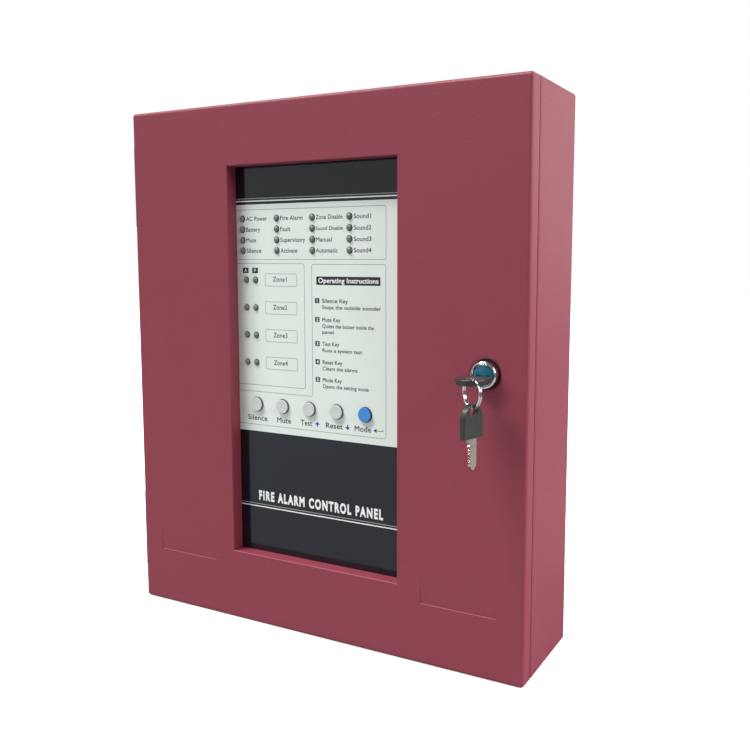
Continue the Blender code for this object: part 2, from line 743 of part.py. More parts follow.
def cam_screw():
    profile = [
        (0, 0.0206),
        (0.0036, 0.0206),
        (0.0052, 0.0198),
        (0.0056, 0.0186),
        (0.0013, 0.0186),
        (0.0013, 0.0156),
        (0, 0.0156),
    ]
    screw = turned("cam_screw", profile, lock_point(0), (0, 1, 0), ZINC, 16)
    low = (LOCK_X - 0.0024, behind(0.0194), LOCK_Z - 0.0004)
    high = (LOCK_X + 0.0024, behind(0.03), LOCK_Z + 0.0004)
    return cut(screw, solid("cam_screw_slot", [("block", low, high)]))


# ---------------------------------------------------------------- keys and ring
HOLE_FROM_TIP = 0.0043
HEAD_HOLE = 0.0028       # the hanging hole's radius at its waist
HEAD_MOUTH = 0.0042      # and at both faces of the head
HOLE_LAND = 0.0004       # half the length of the waist
KEY_BASE = -0.0118       # depth of the head's lower end when the key is in the lock
KEY_TIP = KEY_BASE - HEAD_LENGTH
REACH = HEAD_LENGTH - HOLE_FROM_TIP  # from the hole to the head's lower end


def key(prefix, frame):
    """A flat key, drawn with its hanging hole at the origin, its blade along +Y and its width along X."""
    half_width = HEAD_WIDTH / 2
    round_centre = half_width - HOLE_FROM_TIP
    arc = [pi + pi * k / 12 for k in range(13)]
    outline = [(half_width * cos(a), round_centre + half_width * sin(a)) for a in arc]
    outline += [(half_width, REACH - 0.0015), (half_width - 0.0015, REACH)]
    outline += [(-half_width + 0.0015, REACH), (-half_width, REACH - 0.0015)]
    head = flat_solid(prefix + "key_head", [outline], HEAD_THICK, frame, KEY_PLASTIC)
    bevel(head, 0.0007, 1, 60)
    cut(head, hanging_hole(prefix + "hanging_hole", frame))
    half, thick = BLADE_WIDTH / 2 + CLEAR, BLADE_THICK / 2 + CLEAR
    low, high = (-half, REACH - TANG - CLEAR, -thick), (half, REACH + 0.01, thick)
    pocket = solid(prefix + "tang_pocket", [("block", low, high)])
    pocket.data.transform(frame)
    cut(head, pocket)
    return head, key_blade(prefix, frame)


def hanging_hole(name, frame):
    """A hole that opens out towards both faces, so that a ring can pass through it at an angle."""
    beyond = HEAD_THICK / 2 + 0.001
    slope = (HEAD_MOUTH - HEAD_HOLE) / (HEAD_THICK / 2 - HOLE_LAND)
    wide = HEAD_HOLE + slope * (beyond - HOLE_LAND)
    profile = [
        (0, beyond),
        (wide, beyond),
        (HEAD_HOLE, HOLE_LAND),
        (HEAD_HOLE, -HOLE_LAND),
        (wide, -beyond),
        (0, -beyond),
    ]
    hole = turned(name, profile, (0, 0, 0), (0, 0, 1), None, 16)
    hole.data.transform(frame)
    return hole


def key_blade(prefix, frame):
    """The blade has six bitting cuts along one edge and a straight back."""
    half = BLADE_WIDTH / 2
    start, end = REACH - TANG, REACH + BLADE_LENGTH
    cuts = [0.0012, 0.0024, 0.0016, 0.0030, 0.0020, 0.0026]
    pitch = (BLADE_LENGTH - 0.005) / len(cuts)
    edge = [(half, start), (half, REACH + 0.0015)]
    for number, cut_depth in enumerate(cuts):
        root = REACH + 0.003 + pitch * number
        edge.append((half - cut_depth, root))
        edge.append((half - cut_depth, root + pitch * 0.35))
        edge.append((half - cut_depth * 0.45, root + pitch * 0.68))
    edge += [(half - 0.0036, end), (-half + 0.0024, end), (-half, end - 0.0026), (-half, start)]
    return flat_solid(prefix + "key_blade", [edge], BLADE_THICK, frame, NICKEL)


RING_WAY = Vector((cos(RING_TURN), sin(RING_TURN), 0))
KEY_HOLE_PLACE = Vector((LOCK_X, behind(KEY_TIP + HOLE_FROM_TIP), LOCK_Z - KEY_DROP))
RING_ACROSS = 0.0054     # the hanging ring's centre, along its own plane from the key's hole
RING_DROP = 0.0058       # and below the key's middle plane
RING_CENTRE = KEY_HOLE_PLACE + RING_WAY * RING_ACROSS - Vector((0, 0, RING_DROP))
RING_PIVOT = KEY_HOLE_PLACE + RING_WAY * 0.0015 + Vector((0, 0, 0.0005))  # where the ring bears
SPARE_PIVOT = RING_CENTRE - Vector((0, 0, RING_RADIUS))
SPARE_HANG = 0.0015      # from the ring's wire down to the middle of the spare key's hole
SPARE_TURN = radians(257) # the spare key's face, from the door's plane


def split_ring():
    """Two coils of flat wire, as one helix about the ring's axis. The coils almost touch."""
    turns, per_turn = 2, 26
    wire_half_across, wire_half_along = RING_BAND / 2, 0.00052
    pitch = 0.00120
    count = turns * per_turn - 3
    mesh = bmesh.new()
    rings = []
    for k in range(count):
        angle = 2 * pi * k / per_turn + radians(70)
        along = pitch * (k / per_turn - count / per_turn / 2)
        ring = []
        for corner in range(6):
            turn = 2 * pi * corner / 6
            radius = RING_RADIUS + wire_half_across * cos(turn)
            offset = along + wire_half_along * sin(turn)
            ring.append(mesh.verts.new((radius * cos(angle), offset, radius * sin(angle))))
        rings.append(ring)
    for first, second in zip(rings, rings[1:]):
        for corner in range(6):
            after = (corner + 1) % 6
            mesh.faces.new((first[corner], first[after], second[after], second[corner]))
    mesh.faces.new(rings[0])
    mesh.faces.new(rings[-1])
    bmesh.ops.recalc_face_normals(mesh, faces=mesh.faces)
    bmesh.ops.transform(
        mesh, matrix=Matrix.Translation(RING_CENTRE) @ Matrix.Rotation(RING_TURN, 4, "Z"), verts=mesh.verts
    )
    data = bpy.data.meshes.new("split_ring")
    mesh.to_mesh(data)
    mesh.free()
    return register(bpy.data.objects.new("split_ring", data), CHROME)


def spare_frame():
    """The spare hangs blade down from the ring's lowest point, its face nearly square to the ring."""
    across = Vector((cos(SPARE_TURN), sin(SPARE_TURN), 0))
    down = Vector((0, 0, -1))
    turn = Matrix((across, down, across.cross(down))).transposed().to_4x4()
    return Matrix.Translation(SPARE_PIVOT - Vector((0, 0, SPARE_HANG))) @ turn


# ---------------------------------------------------------------- inside the box
BOARD_BACK = -0.0095     # the main board's rear face
BOARD_FACE = BOARD_BACK - BOARD_THICK
BOARD_LOW = (-0.072, -0.070)
BOARD_HIGH = (0.128, 0.090)
BOARD_CORNERS = [(x, z) for x in (-0.067, 0.108) for z in (-0.065, 0.085)]
SEATED = BOARD_FACE - CLEAR   # rear of what stands on the main board


def on_board(x0, x1, z0, z1, rise):
    """A component soldered to the main board, sunk a little into it so that the two are one solid."""
    return ("block", (x0, BOARD_FACE - rise, z0), (x1, BOARD_FACE + 0.0008, z1))


def main_board():
    loops = [rectangle(BOARD_LOW[0], BOARD_HIGH[0], BOARD_LOW[1], BOARD_HIGH[1])]
    loops += [circle(x, z, 0.0018, 12) for x, z in BOARD_CORNERS]
    board = plate("main_board", loops, BOARD_FACE, BOARD_BACK, BOARD_GREEN)
    parts = [
        on_board(0.000, 0.014, 0.010, 0.024, 0.0016),
        on_board(-0.030, -0.020, 0.012, 0.019, 0.0016),
        on_board(-0.055, -0.025, 0.062, 0.071, 0.0090),
        on_board(0.060, 0.085, 0.000, 0.003, 0.0200),
        on_board(-0.002, 0.002, -0.010, 0.000, 0.0035),
    ]
    for x in (-0.052, -0.038, -0.024):
        parts.append(("rod", (x, BOARD_FACE + 0.0008, 0.040), (x, BOARD_FACE - 0.018, 0.040), 0.005, 14))
    join(board, solid("board_components", parts))
    socket = ("block", (-0.053, BOARD_FACE - 0.02, 0.0645), (-0.027, BOARD_FACE - 0.002, 0.0690))
    return cut(board, solid("board_socket_slot", [socket]))


def terminals(name, left, count, low, high, rear, tall, look):
    """A row of screw terminals: a round screw well in front of each way, and a wire entry below it."""
    pitch = 0.0065
    body = solid(name, [("block", (left, rear - tall, low), (left + count * pitch, rear, high))], look)
    bevel(body, 0.0008, 1)
    middles = [left + pitch * (k + 0.5) for k in range(count)]
    front, well_z = rear - tall, high - 0.0038
    wells = [("rod", (x, front - 0.002, well_z), (x, front + 0.0025, well_z), 0.0021, 8) for x in middles]
    entries = [
        ("block", (x - 0.0016, front + 0.0045, low - 0.002), (x + 0.0016, rear - 0.0035, low + 0.004))
        for x in middles
    ]
    return cut(body, solid(name + "_wells", wells + entries))


def buzzer():
    profile = [
        (0, SEATED),
        (0.0118, SEATED),
        (0.0118, SEATED - 0.0090),
        (0.0110, SEATED - 0.0100),
        (0, SEATED - 0.0100),
    ]
    case = turned("buzzer", profile, (0.100, 0, 0.050), (0, 1, 0), DARK_PLASTIC, 24)
    port = ("rod", (0.100, SEATED - 0.02, 0.050), (0.100, SEATED - 0.006, 0.050), 0.0012, 12)
    return cut(case, solid("buzzer_port", [port]))


def relay(number, x):
    low = (x - 0.0078, SEATED - 0.0155, 0.040)
    high = (x + 0.0078, SEATED, 0.059)
    return bevel(solid(f"relay_{number}", [("block", low, high)], RELAY_PLASTIC), 0.0010, 2)


def main_board_screw(number, x, z):
    profile = [
        (0, 0.0065),
        (0.0013, 0.0065),
        (0.0013, 0),
        (0.0030, 0),
        (0.0028, -0.0014),
        (0.0018, -0.0022),
        (0, -0.0024),
    ]
    screw = turned(f"main_board_screw_{number}", profile, (x, SEATED, z), (0, 1, 0), ZINC, 12)
    slot = ("block", (x - 0.002, SEATED - 0.004, z - 0.0003), (x + 0.002, SEATED - 0.0013, z + 0.0003))
    return cut(screw, solid(f"board_screw_slot_{number}", [slot]))


CORE_X = -0.110
CORE_Z = 0.040
COIL_HALF = (0.0197, 0.0147)  # half the coil's width and half its height


def transformer_core():
    """A laminated core with two windows, on two folded feet that are fixed to the back."""
    outline = rectangle(CORE_X - 0.030, CORE_X + 0.030, CORE_Z - 0.025, CORE_Z + 0.025)
    windows = []
    for side in (-1, 1):
        middle = CORE_X + side * 0.015
        windows.append(rectangle(middle - 0.005, middle + 0.005, CORE_Z - 0.015, CORE_Z + 0.015))
    core = plate("transformer_core", [outline] + windows, -0.038, -0.014, CORE_STEEL)
    feet = []
    for side in (-1, 1):
        left, right = sorted((CORE_X + side * 0.027, CORE_X + side * 0.0315))
        feet.append(("block", (left, -0.030, CORE_Z - 0.020), (right, -0.0015, CORE_Z + 0.020)))
    return join(core, solid("core_feet", feet))


def transformer_coil():
    """The winding and its tape, round the core's middle leg."""
    wide, tall = COIL_HALF
    low, high = (CORE_X - wide, -0.048, CORE_Z - tall), (CORE_X + wide, -0.004, CORE_Z + tall)
    coil = bevel(solid("transformer_coil", [("block", low, high)], COIL_TAPE), 0.003, 3)
    leg = ("block", (CORE_X - 0.0103, -0.0383, CORE_Z - 0.03), (CORE_X + 0.0103, -0.0137, CORE_Z + 0.03))
    return cut(coil, solid("coil_leg", [leg]))


def mains_terminals():
    """The mains entry block, with a raised pair of clips that hold the fuse."""
    block = terminals("mains_terminals", -0.1345, 6, -0.052, -0.038, -0.0016, 0.017, DARK_PLASTIC)
    base = ("block", (-0.1300, -0.0080, -0.0405), (-0.1000, -0.0016, -0.0200))
    ends = [("block", (x, -0.0175, -0.0320), (x + 0.0020, -0.0070, -0.0240)) for x in (-0.1300, -0.1020)]
    join(block, solid("fuse_base", [base]))
    return join(block, solid("fuse_ends", ends))


def fuse_link():
    """A 5 x 20 mm cartridge fuse: metal caps a little larger than its tube."""
    cap, tube = 0.0026, 0.0024
    profile = [
        (0, 0.010),
        (cap, 0.010),
        (cap, 0.005),
        (tube, 0.005),
        (tube, -0.005),
        (cap, -0.005),
        (cap, -0.010),
        (0, -0.010),
    ]
    return turned("fuse_link", profile, (-0.115, -0.0128, -0.028), (1, 0, 0), FUSE_GLASS, 16)


BATTERY_WIDTH = 0.097
BATTERY_TALL = 0.052
BATTERY_DEEP = 0.043
BATTERY_FLOOR = -HEIGHT / 2 + SHEET + CLEAR
BATTERY_REAR = BACK_INSIDE - CLEAR


def battery(name, side):
    """A sealed 12 V battery with a lid line and two tab terminals on top."""
    near, far = 0.001, 0.001 + BATTERY_WIDTH
    left, right = sorted((side * near, side * far))
    front = BATTERY_REAR - BATTERY_DEEP
    top = BATTERY_FLOOR + BATTERY_TALL
    case = solid(name, [("block", (left, front, BATTERY_FLOOR), (right, BATTERY_REAR, top))], BATTERY_CASE)
    bevel(case, 0.0012, 1)
    line = flat_solid(
        name + "_lid_line",
        [
            rectangle(left - 0.002, right + 0.002, front - 0.002, BATTERY_REAR + 0.002),
            rectangle(left + 0.0005, right - 0.0005, front + 0.0005, BATTERY_REAR - 0.0005),
        ],
        0.0008,
        floor_plane(top - 0.006),
    )
    cut(case, line)
    middle = (front + BATTERY_REAR) / 2
    tabs = [
        ("block", (x - 0.0024, middle - 0.0004, top - 0.002), (x + 0.0024, middle + 0.0004, top + 0.005))
        for x in (left + 0.010, right - 0.010)
    ]
    return join(case, solid(name + "_tabs", tabs))


def battery_strap():
    """A steel strap over the fronts of both batteries, with a foot on the back at each end."""
    inner = 0.001 + BATTERY_WIDTH + CLEAR
    outer = inner + SHEET
    front_in = BATTERY_REAR - BATTERY_DEEP - CLEAR
    front_out = front_in - SHEET
    foot = outer + 0.013
    rear = BATTERY_REAR
    right = [
        (outer, front_out),
        (outer, rear - SHEET),
        (foot, rear - SHEET),
        (foot, rear),
        (inner, rear),
        (inner, front_in),
    ]
    loop = right + [(-x, y) for x, y in reversed(right)]
    return flat_solid("battery_strap", [loop], 0.015, floor_plane(BATTERY_FLOOR + 0.028), ZINC)


# ---------------------------------------------------------------- assembly
def build():
    back_box()
    swing = pivot("door_axis", (HINGE_X, HINGE_Y, 0))
    on_door = [door(), fascia_label(), fascia_carrier(), display_board(), lock_body(), lock_nut()]
    for name, middle in (("upper", HINGE_Z), ("lower", -HINGE_Z)):
        on_door.append(hinge(name, middle)[1])
    for number, (x, z) in enumerate(STUD_PLACES, 1):
        on_door.append(fascia_nut(number, x, z))
    for number, (x, z) in enumerate(SPACER_PLACES, 1):
        on_door.append(board_spacer(number, x, z))
    for number, z in enumerate(STATUS_Z, 1):
        on_door.append(led_bar(f"status_leds_{number}", STATUS_X, z))
    for number, z in enumerate(ZONE_Z, 1):
        on_door.append(led_bar(f"zone_leds_{number}", ZONE_LED_X, z))
    carry(swing, *on_door)
    for name, x in zip(BUTTON_NAMES, BUTTON_X):
        press = pivot(f"press_{name}", (x, behind(LABEL_DEPTH), BUTTON_Z), swing)
        carry(press, button(name, x))

    turn = pivot("lock_axis", lock_point(0), swing)
    carry(turn, lock_plug(), lock_insert(), lock_cam(), cam_screw())
    keyed = Matrix.Translation(KEY_HOLE_PLACE)
    draw = pivot("key_slide", KEY_HOLE_PLACE, turn)
    carry(draw, *key("", keyed))
    hang = pivot("ring_axis", RING_PIVOT, draw)
    carry(hang, split_ring())
    dangle = pivot("spare_key_axis", SPARE_PIVOT, hang)
    carry(dangle, *key("spare_", spare_frame()))

    main_board()
    terminals("zone_terminals", -0.060, 12, -0.068, -0.055, SEATED, 0.013, TERMINAL_GREEN)
    terminals("sounder_terminals", 0.028, 10, -0.068, -0.055, SEATED, 0.013, TERMINAL_GREEN)
    buzzer()
    relay(1, 0.030)
    relay(2, 0.052)
    for number, (x, z) in enumerate(BOARD_CORNERS, 1):
        main_board_screw(number, x, z)
    transformer_core()
    transformer_coil()
    mains_terminals()
    fuse_link()
    battery("battery_left", -1)
    battery("battery_right", 1)
    battery_strap()


build()
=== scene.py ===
"""The looks of a wall-mounted fire alarm control panel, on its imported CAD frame.

Frame: origin at the centre of the back, +Z up, +X right as seen from the front, the door faces -Y.
"""

import json
from math import atan2, cos, pi, radians, sin

import bmesh
import bpy
from mathutils import Matrix, Vector

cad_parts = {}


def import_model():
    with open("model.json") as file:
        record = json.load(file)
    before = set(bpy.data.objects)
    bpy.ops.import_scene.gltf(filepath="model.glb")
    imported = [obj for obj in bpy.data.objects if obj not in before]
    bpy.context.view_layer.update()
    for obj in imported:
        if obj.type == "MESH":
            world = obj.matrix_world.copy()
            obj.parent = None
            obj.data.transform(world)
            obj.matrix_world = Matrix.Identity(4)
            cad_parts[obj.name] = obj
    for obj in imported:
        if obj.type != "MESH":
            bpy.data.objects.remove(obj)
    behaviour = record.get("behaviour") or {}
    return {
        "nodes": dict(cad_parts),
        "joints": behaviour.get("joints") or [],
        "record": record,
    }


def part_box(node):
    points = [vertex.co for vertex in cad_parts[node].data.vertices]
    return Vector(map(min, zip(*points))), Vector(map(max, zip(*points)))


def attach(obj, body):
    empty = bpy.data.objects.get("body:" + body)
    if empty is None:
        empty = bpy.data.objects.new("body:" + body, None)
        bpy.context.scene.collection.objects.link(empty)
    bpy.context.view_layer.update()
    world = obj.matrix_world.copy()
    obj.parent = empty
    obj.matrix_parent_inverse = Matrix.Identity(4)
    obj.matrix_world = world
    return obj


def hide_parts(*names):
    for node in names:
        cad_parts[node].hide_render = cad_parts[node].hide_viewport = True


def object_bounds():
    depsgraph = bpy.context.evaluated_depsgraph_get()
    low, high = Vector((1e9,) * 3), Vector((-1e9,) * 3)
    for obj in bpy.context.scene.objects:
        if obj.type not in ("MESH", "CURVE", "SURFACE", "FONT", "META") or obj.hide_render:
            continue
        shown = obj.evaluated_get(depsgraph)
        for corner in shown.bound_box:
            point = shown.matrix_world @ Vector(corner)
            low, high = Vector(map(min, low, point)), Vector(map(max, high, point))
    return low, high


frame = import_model()
CAD_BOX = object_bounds()
NODES = frame["nodes"]
BODY_OF = {node: body for body, nodes in frame["record"]["behaviour"]["bodies"].items() for node in nodes}
JOINT_AT = {joint["name"]: Vector(joint["pos_m"]) for joint in frame["joints"] if "pos_m" in joint}
MM = 0.001


# ---------------------------------------------------------------- materials
def linear(colour, gain=1.0):
    """An sRGB colour, 0 to 255, as linear RGBA."""
    channels = []
    for value in colour:
        value /= 255
        value = value / 12.92 if value <= 0.04045 else ((value + 0.055) / 1.055) ** 2.4
        channels.append(min(value * gain, 1.0))
    return (*channels, 1.0)


def finish_of(name, colour, roughness, metallic=0.0, spread=0.06, patch=25, rough_spread=0.06,
              grain=0.0, grain_scale=1500, stretch=(1, 1, 1), sockets=None):
    """A surface with slow patches of tone, uneven gloss and a fine grain.

    spread is how far the tone wanders, patch and grain_scale are in cycles per metre, grain is the
    grain's height in metres, stretch draws the grain out along an axis, and sockets sets other
    shader values.
    """
    made = bpy.data.materials.new(name)
    made.use_nodes = True
    tree = made.node_tree
    shader = tree.nodes["Principled BSDF"]
    shader.inputs["Metallic"].default_value = metallic
    for socket, value in (sockets or {}).items():
        shader.inputs[socket].default_value = value
    place = tree.nodes.new("ShaderNodeTexCoord")
    mapping = tree.nodes.new("ShaderNodeMapping")
    mapping.inputs["Scale"].default_value = stretch
    tree.links.new(place.outputs["Object"], mapping.inputs["Vector"])

    slow = tree.nodes.new("ShaderNodeTexNoise")
    slow.inputs["Scale"].default_value = patch
    slow.inputs["Detail"].default_value = 4
    tree.links.new(place.outputs["Object"], slow.inputs["Vector"])
    tones = tree.nodes.new("ShaderNodeValToRGB")
    tones.color_ramp.elements[0].position = 0.3
    tones.color_ramp.elements[1].position = 0.7
    tones.color_ramp.elements[0].color = linear(colour, 1 - spread)
    tones.color_ramp.elements[1].color = linear(colour, 1 + spread)
    tree.links.new(slow.outputs["Fac"], tones.inputs["Fac"])
    tree.links.new(tones.outputs["Color"], shader.inputs["Base Color"])

    fine = tree.nodes.new("ShaderNodeTexNoise")
    fine.inputs["Scale"].default_value = grain_scale
    fine.inputs["Detail"].default_value = 3
    tree.links.new(mapping.outputs["Vector"], fine.inputs["Vector"])
    gloss = tree.nodes.new("ShaderNodeMapRange")
    gloss.inputs["From Min"].default_value = 0.3
    gloss.inputs["From Max"].default_value = 0.7
    gloss.inputs["To Min"].default_value = max(roughness - rough_spread, 0.02)
    gloss.inputs["To Max"].default_value = roughness + rough_spread
    tree.links.new(fine.outputs["Fac"], gloss.inputs["Value"])
    tree.links.new(gloss.outputs["Result"], shader.inputs["Roughness"])
    if grain:
        bump = tree.nodes.new("ShaderNodeBump")
        bump.inputs["Strength"].default_value = 1.0
        bump.inputs["Distance"].default_value = grain
        tree.links.new(fine.outputs["Fac"], bump.inputs["Height"])
        tree.links.new(bump.outputs["Normal"], shader.inputs["Normal"])
    return made


RED_PAINT = finish_of("red_powder_coat", (139, 53, 70), 0.54, spread=0.02, patch=60, rough_spread=0.05,
                      grain=0.0001, grain_scale=600)
# Black foam that stands in for shade: painted shade in the door's seam and round the lock's barrel.
PAINTED_SHADE_FOAM = finish_of("painted_shade_foam", (20, 18, 19), 0.8, spread=0.2, patch=500,
                      grain=0.00008, grain_scale=1200)
BLACK_SHEET = finish_of("black_sheet", (26, 27, 29), 0.5, grain=0.00002)
LIGHT_FILM = finish_of("label_light_film", (227, 238, 230), 0.16, spread=0.012, patch=30, rough_spread=0.03)
BLACK_FILM = finish_of("label_black_film", (14, 20, 30), 0.10, spread=0.08, patch=30, rough_spread=0.03)
DARK_INK = finish_of("dark_ink", (28, 34, 32), 0.3, spread=0.1, patch=300)
LINE_INK = finish_of("line_ink", (112, 122, 114), 0.3, spread=0.08, patch=300)
WHITE_INK = finish_of("white_ink", (246, 248, 248), 0.3, spread=0.03, patch=200)
DIM_INK = finish_of("dim_white_ink", (160, 164, 164), 0.3, spread=0.05, patch=200)
BLUE_INK = finish_of("blue_ink", (54, 70, 158), 0.3, spread=0.08, patch=300)
ZINC = finish_of("zinc_plated_steel", (172, 174, 172), 0.34, 1.0, spread=0.09, patch=160, rough_spread=0.12,
                 grain=0.000008, grain_scale=900)
CHROME = finish_of("polished_chrome", (222, 224, 228), 0.08, 1.0, spread=0.02, patch=90, rough_spread=0.04,
                   grain_scale=700)
BRASS = finish_of("brass", (188, 158, 96), 0.3, 1.0, spread=0.1, patch=200, rough_spread=0.1)
NICKEL = finish_of("nickel_silver", (178, 166, 158), 0.17, 1.0, spread=0.06, patch=150, rough_spread=0.07,
                   grain=0.000006, grain_scale=500, stretch=(0.5, 0.5, 4))
BLUE_INSERT = finish_of("blue_insert", (8, 98, 124), 0.14, spread=0.12, patch=160, rough_spread=0.04,
                        sockets={"Coat Weight": 0.6, "Coat Roughness": 0.04})
KEY_PLASTIC = finish_of("black_key_plastic", (46, 48, 43), 0.36, spread=0.14, patch=220, rough_spread=0.1,
                        grain=0.00002, grain_scale=1600)
PALE_BUTTON = finish_of("pale_button_plastic", (205, 212, 205), 0.4, spread=0.02, patch=150, grain=0.000008)
# Darker copies of the button plastics: painted shade on the caps' sides, deep in the window.
PALE_BUTTON_PAINTED_SHADE = finish_of("pale_button_painted_shade", (104, 110, 105), 0.45, spread=0.04, patch=150)
BLUE_BUTTON_PAINTED_SHADE = finish_of("blue_button_painted_shade", (24, 66, 128), 0.45, spread=0.04, patch=150)
BLUE_BUTTON = finish_of("blue_button_plastic", (62, 140, 216), 0.34, spread=0.04, patch=150, grain=0.000008)
LENS = finish_of("led_lens", (112, 124, 114), 0.3, spread=0.12, patch=600, rough_spread=0.05)
LENS_RIM = finish_of("led_rim", (44, 48, 44), 0.3, spread=0.1, patch=600)
LED_HOLDER = finish_of("led_holder", (38, 38, 38), 0.45, spread=0.1, patch=200, grain=0.00002)
BOARD_GREEN = finish_of("circuit_board", (22, 84, 50), 0.3, spread=0.12, patch=90, rough_spread=0.08,
                        grain=0.00002, grain_scale=700)
SOLDER = finish_of("solder", (196, 198, 200), 0.22, 1.0, spread=0.08, patch=900, rough_spread=0.1)
COPPER_TRACE = finish_of("covered_traces", (44, 116, 72), 0.28, spread=0.08, patch=200)
TERMINAL_GREEN = finish_of("terminal_plastic", (40, 128, 72), 0.42, spread=0.05, patch=150, grain=0.00002)
DARK_PLASTIC = finish_of("dark_plastic", (32, 32, 34), 0.45, spread=0.1, patch=150, grain=0.00002)
RELAY_PLASTIC = finish_of("relay_plastic", (34, 72, 146), 0.3, spread=0.06, patch=200, grain=0.00001)
NYLON = finish_of("white_nylon", (226, 226, 216), 0.5, spread=0.03, patch=200, grain=0.00001)
CORE_STEEL = finish_of("laminated_core", (92, 90, 90), 0.5, 0.7, spread=0.25, patch=40, rough_spread=0.15,
                       grain=0.0001, grain_scale=60, stretch=(1, 30, 1))
COIL_TAPE = finish_of("coil_tape", (214, 176, 58), 0.35, spread=0.1, patch=60, rough_spread=0.08,
                      grain=0.00008, grain_scale=90, stretch=(1, 1, 12))
BATTERY_CASE = finish_of("battery_case", (52, 55, 60), 0.5, spread=0.08, patch=60, rough_spread=0.08,
                         grain=0.00005, grain_scale=1000)
FUSE_GLASS = finish_of("fuse_glass", (222, 226, 222), 0.06, spread=0.03, patch=200)
CERAMIC_TAN = finish_of("component_tan", (196, 160, 104), 0.35, spread=0.12, patch=900)
CHIP_BLACK = finish_of("component_black", (30, 31, 33), 0.4, spread=0.15, patch=400)


# ---------------------------------------------------------------- mesh helpers
def shown(name, mesh, materials, sharp=35):
    """Turns a bmesh into a smooth-shaded object with the given materials."""
    data = bpy.data.meshes.new(name)
    mesh.to_mesh(data)
    mesh.free()
    for made in materials if isinstance(materials, (list, tuple)) else [materials]:
        data.materials.append(made)
    piece = bpy.data.objects.new(name, data)
    bpy.context.scene.collection.objects.link(piece)
    data.shade_smooth()
    data.set_sharp_from_angle(angle=radians(sharp))
    return piece


def baked(piece, sharp=35):
    """Applies a piece's modifiers."""
    graph = bpy.context.evaluated_depsgraph_get()
    data = bpy.data.meshes.new_from_object(piece.evaluated_get(graph))
    piece.modifiers.clear()
    piece.data = data
    data.shade_smooth()
    data.set_sharp_from_angle(angle=radians(sharp))
    return piece


def rounded(piece, width, segments=2, angle=35):
    """Bevels the edges sharper than angle, in degrees."""
    step = piece.modifiers.new("bevel", "BEVEL")
    step.width = width
    step.segments = segments
    step.limit_method = "ANGLE"
    step.angle_limit = radians(angle)
    step.use_clamp_overlap = True
    return baked(piece)


def cut(piece, cutter, operation="DIFFERENCE"):
    """Applies a boolean to piece and removes the cutter."""
    step = piece.modifiers.new("cut", "BOOLEAN")
    step.operation = operation
    step.solver = "EXACT"
    step.object = cutter
    baked(piece)
    bpy.data.objects.remove(cutter, do_unlink=True)
    return piece


def welded(node):
    """A CAD node's mesh, welded and with its flat faces merged."""
    mesh = bmesh.new()
    mesh.from_mesh(NODES[node].data)
    bmesh.ops.remove_doubles(mesh, verts=mesh.verts, dist=1e-6)
    bmesh.ops.dissolve_limit(mesh, angle_limit=radians(0.3), verts=mesh.verts, edges=mesh.edges)
    return mesh


def evened(piece):
    """Shades flat faces flat right up to their softened edges."""
    step = piece.modifiers.new("evened", "WEIGHTED_NORMAL")
    step.keep_sharp = True
    step.weight = 100
    return piece


def stands_for(piece, *nodes):
    """Puts piece in the place of CAD nodes, on the body they belong to."""
    evened(piece)
    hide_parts(*nodes)
    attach(piece, BODY_OF[nodes[0]])
    return piece


def refined(node, materials, width=0.0, segments=2, sharp=35):
    """A CAD node's shape with its sharp edges softened."""
    piece = shown(node + "_skin", welded(node), materials, sharp)
    if width:
        rounded(piece, width, segments)
        piece.data.set_sharp_from_angle(angle=radians(sharp))
    return stands_for(piece, node)


def add_block(mesh, low, high):
    """Adds a box between two corners and returns its vertices."""
    low, high = Vector(low), Vector(high)
    made = bmesh.ops.create_cube(mesh, size=1.0)["verts"]
    bmesh.ops.scale(mesh, vec=high - low, verts=made)
    bmesh.ops.translate(mesh, vec=(low + high) / 2, verts=made)
    return made


def add_turned(mesh, profile, centre, axis, steps=32, material=0):
    """Adds a solid turned about an axis. profile lists (radius, distance along it)."""
    tilt = Vector((0, 0, 1)).rotation_difference(Vector(axis)).to_matrix().to_4x4()
    turn = Matrix.Translation(centre) @ tilt
    rings = []
    for radius, along in profile:
        if radius < 1e-9:
            rings.append([mesh.verts.new(turn @ Vector((0, 0, along)))])
        else:
            ring = []
            for k in range(steps):
                angle = 2 * pi * k / steps
                ring.append(mesh.verts.new(turn @ Vector((radius * cos(angle), radius * sin(angle), along))))
            rings.append(ring)
    faces = []
    loops = list(zip(rings, rings[1:]))
    if len(rings[0]) > 1 and profile[0][0] > 0:
        loops.append((rings[-1], rings[0]))
    for first, second in loops:
        for k in range(steps):
            after = (k + 1) % steps
            corners = [first[k % len(first)], first[after % len(first)]]
            corners += [second[after % len(second)], second[k % len(second)]]
            unique = list(dict.fromkeys(corners))
            if len(unique) > 2:
                faces.append(mesh.faces.new(unique))
    bmesh.ops.recalc_face_normals(mesh, faces=faces)
    for face in faces:
        face.material_index = material
    return faces


def turned(name, profile, centre, axis, materials, steps=48, sharp=35):
    """A piece of its own, turned about an axis."""
    mesh = bmesh.new()
    add_turned(mesh, profile, centre, axis, steps)
    return shown(name, mesh, materials, sharp)


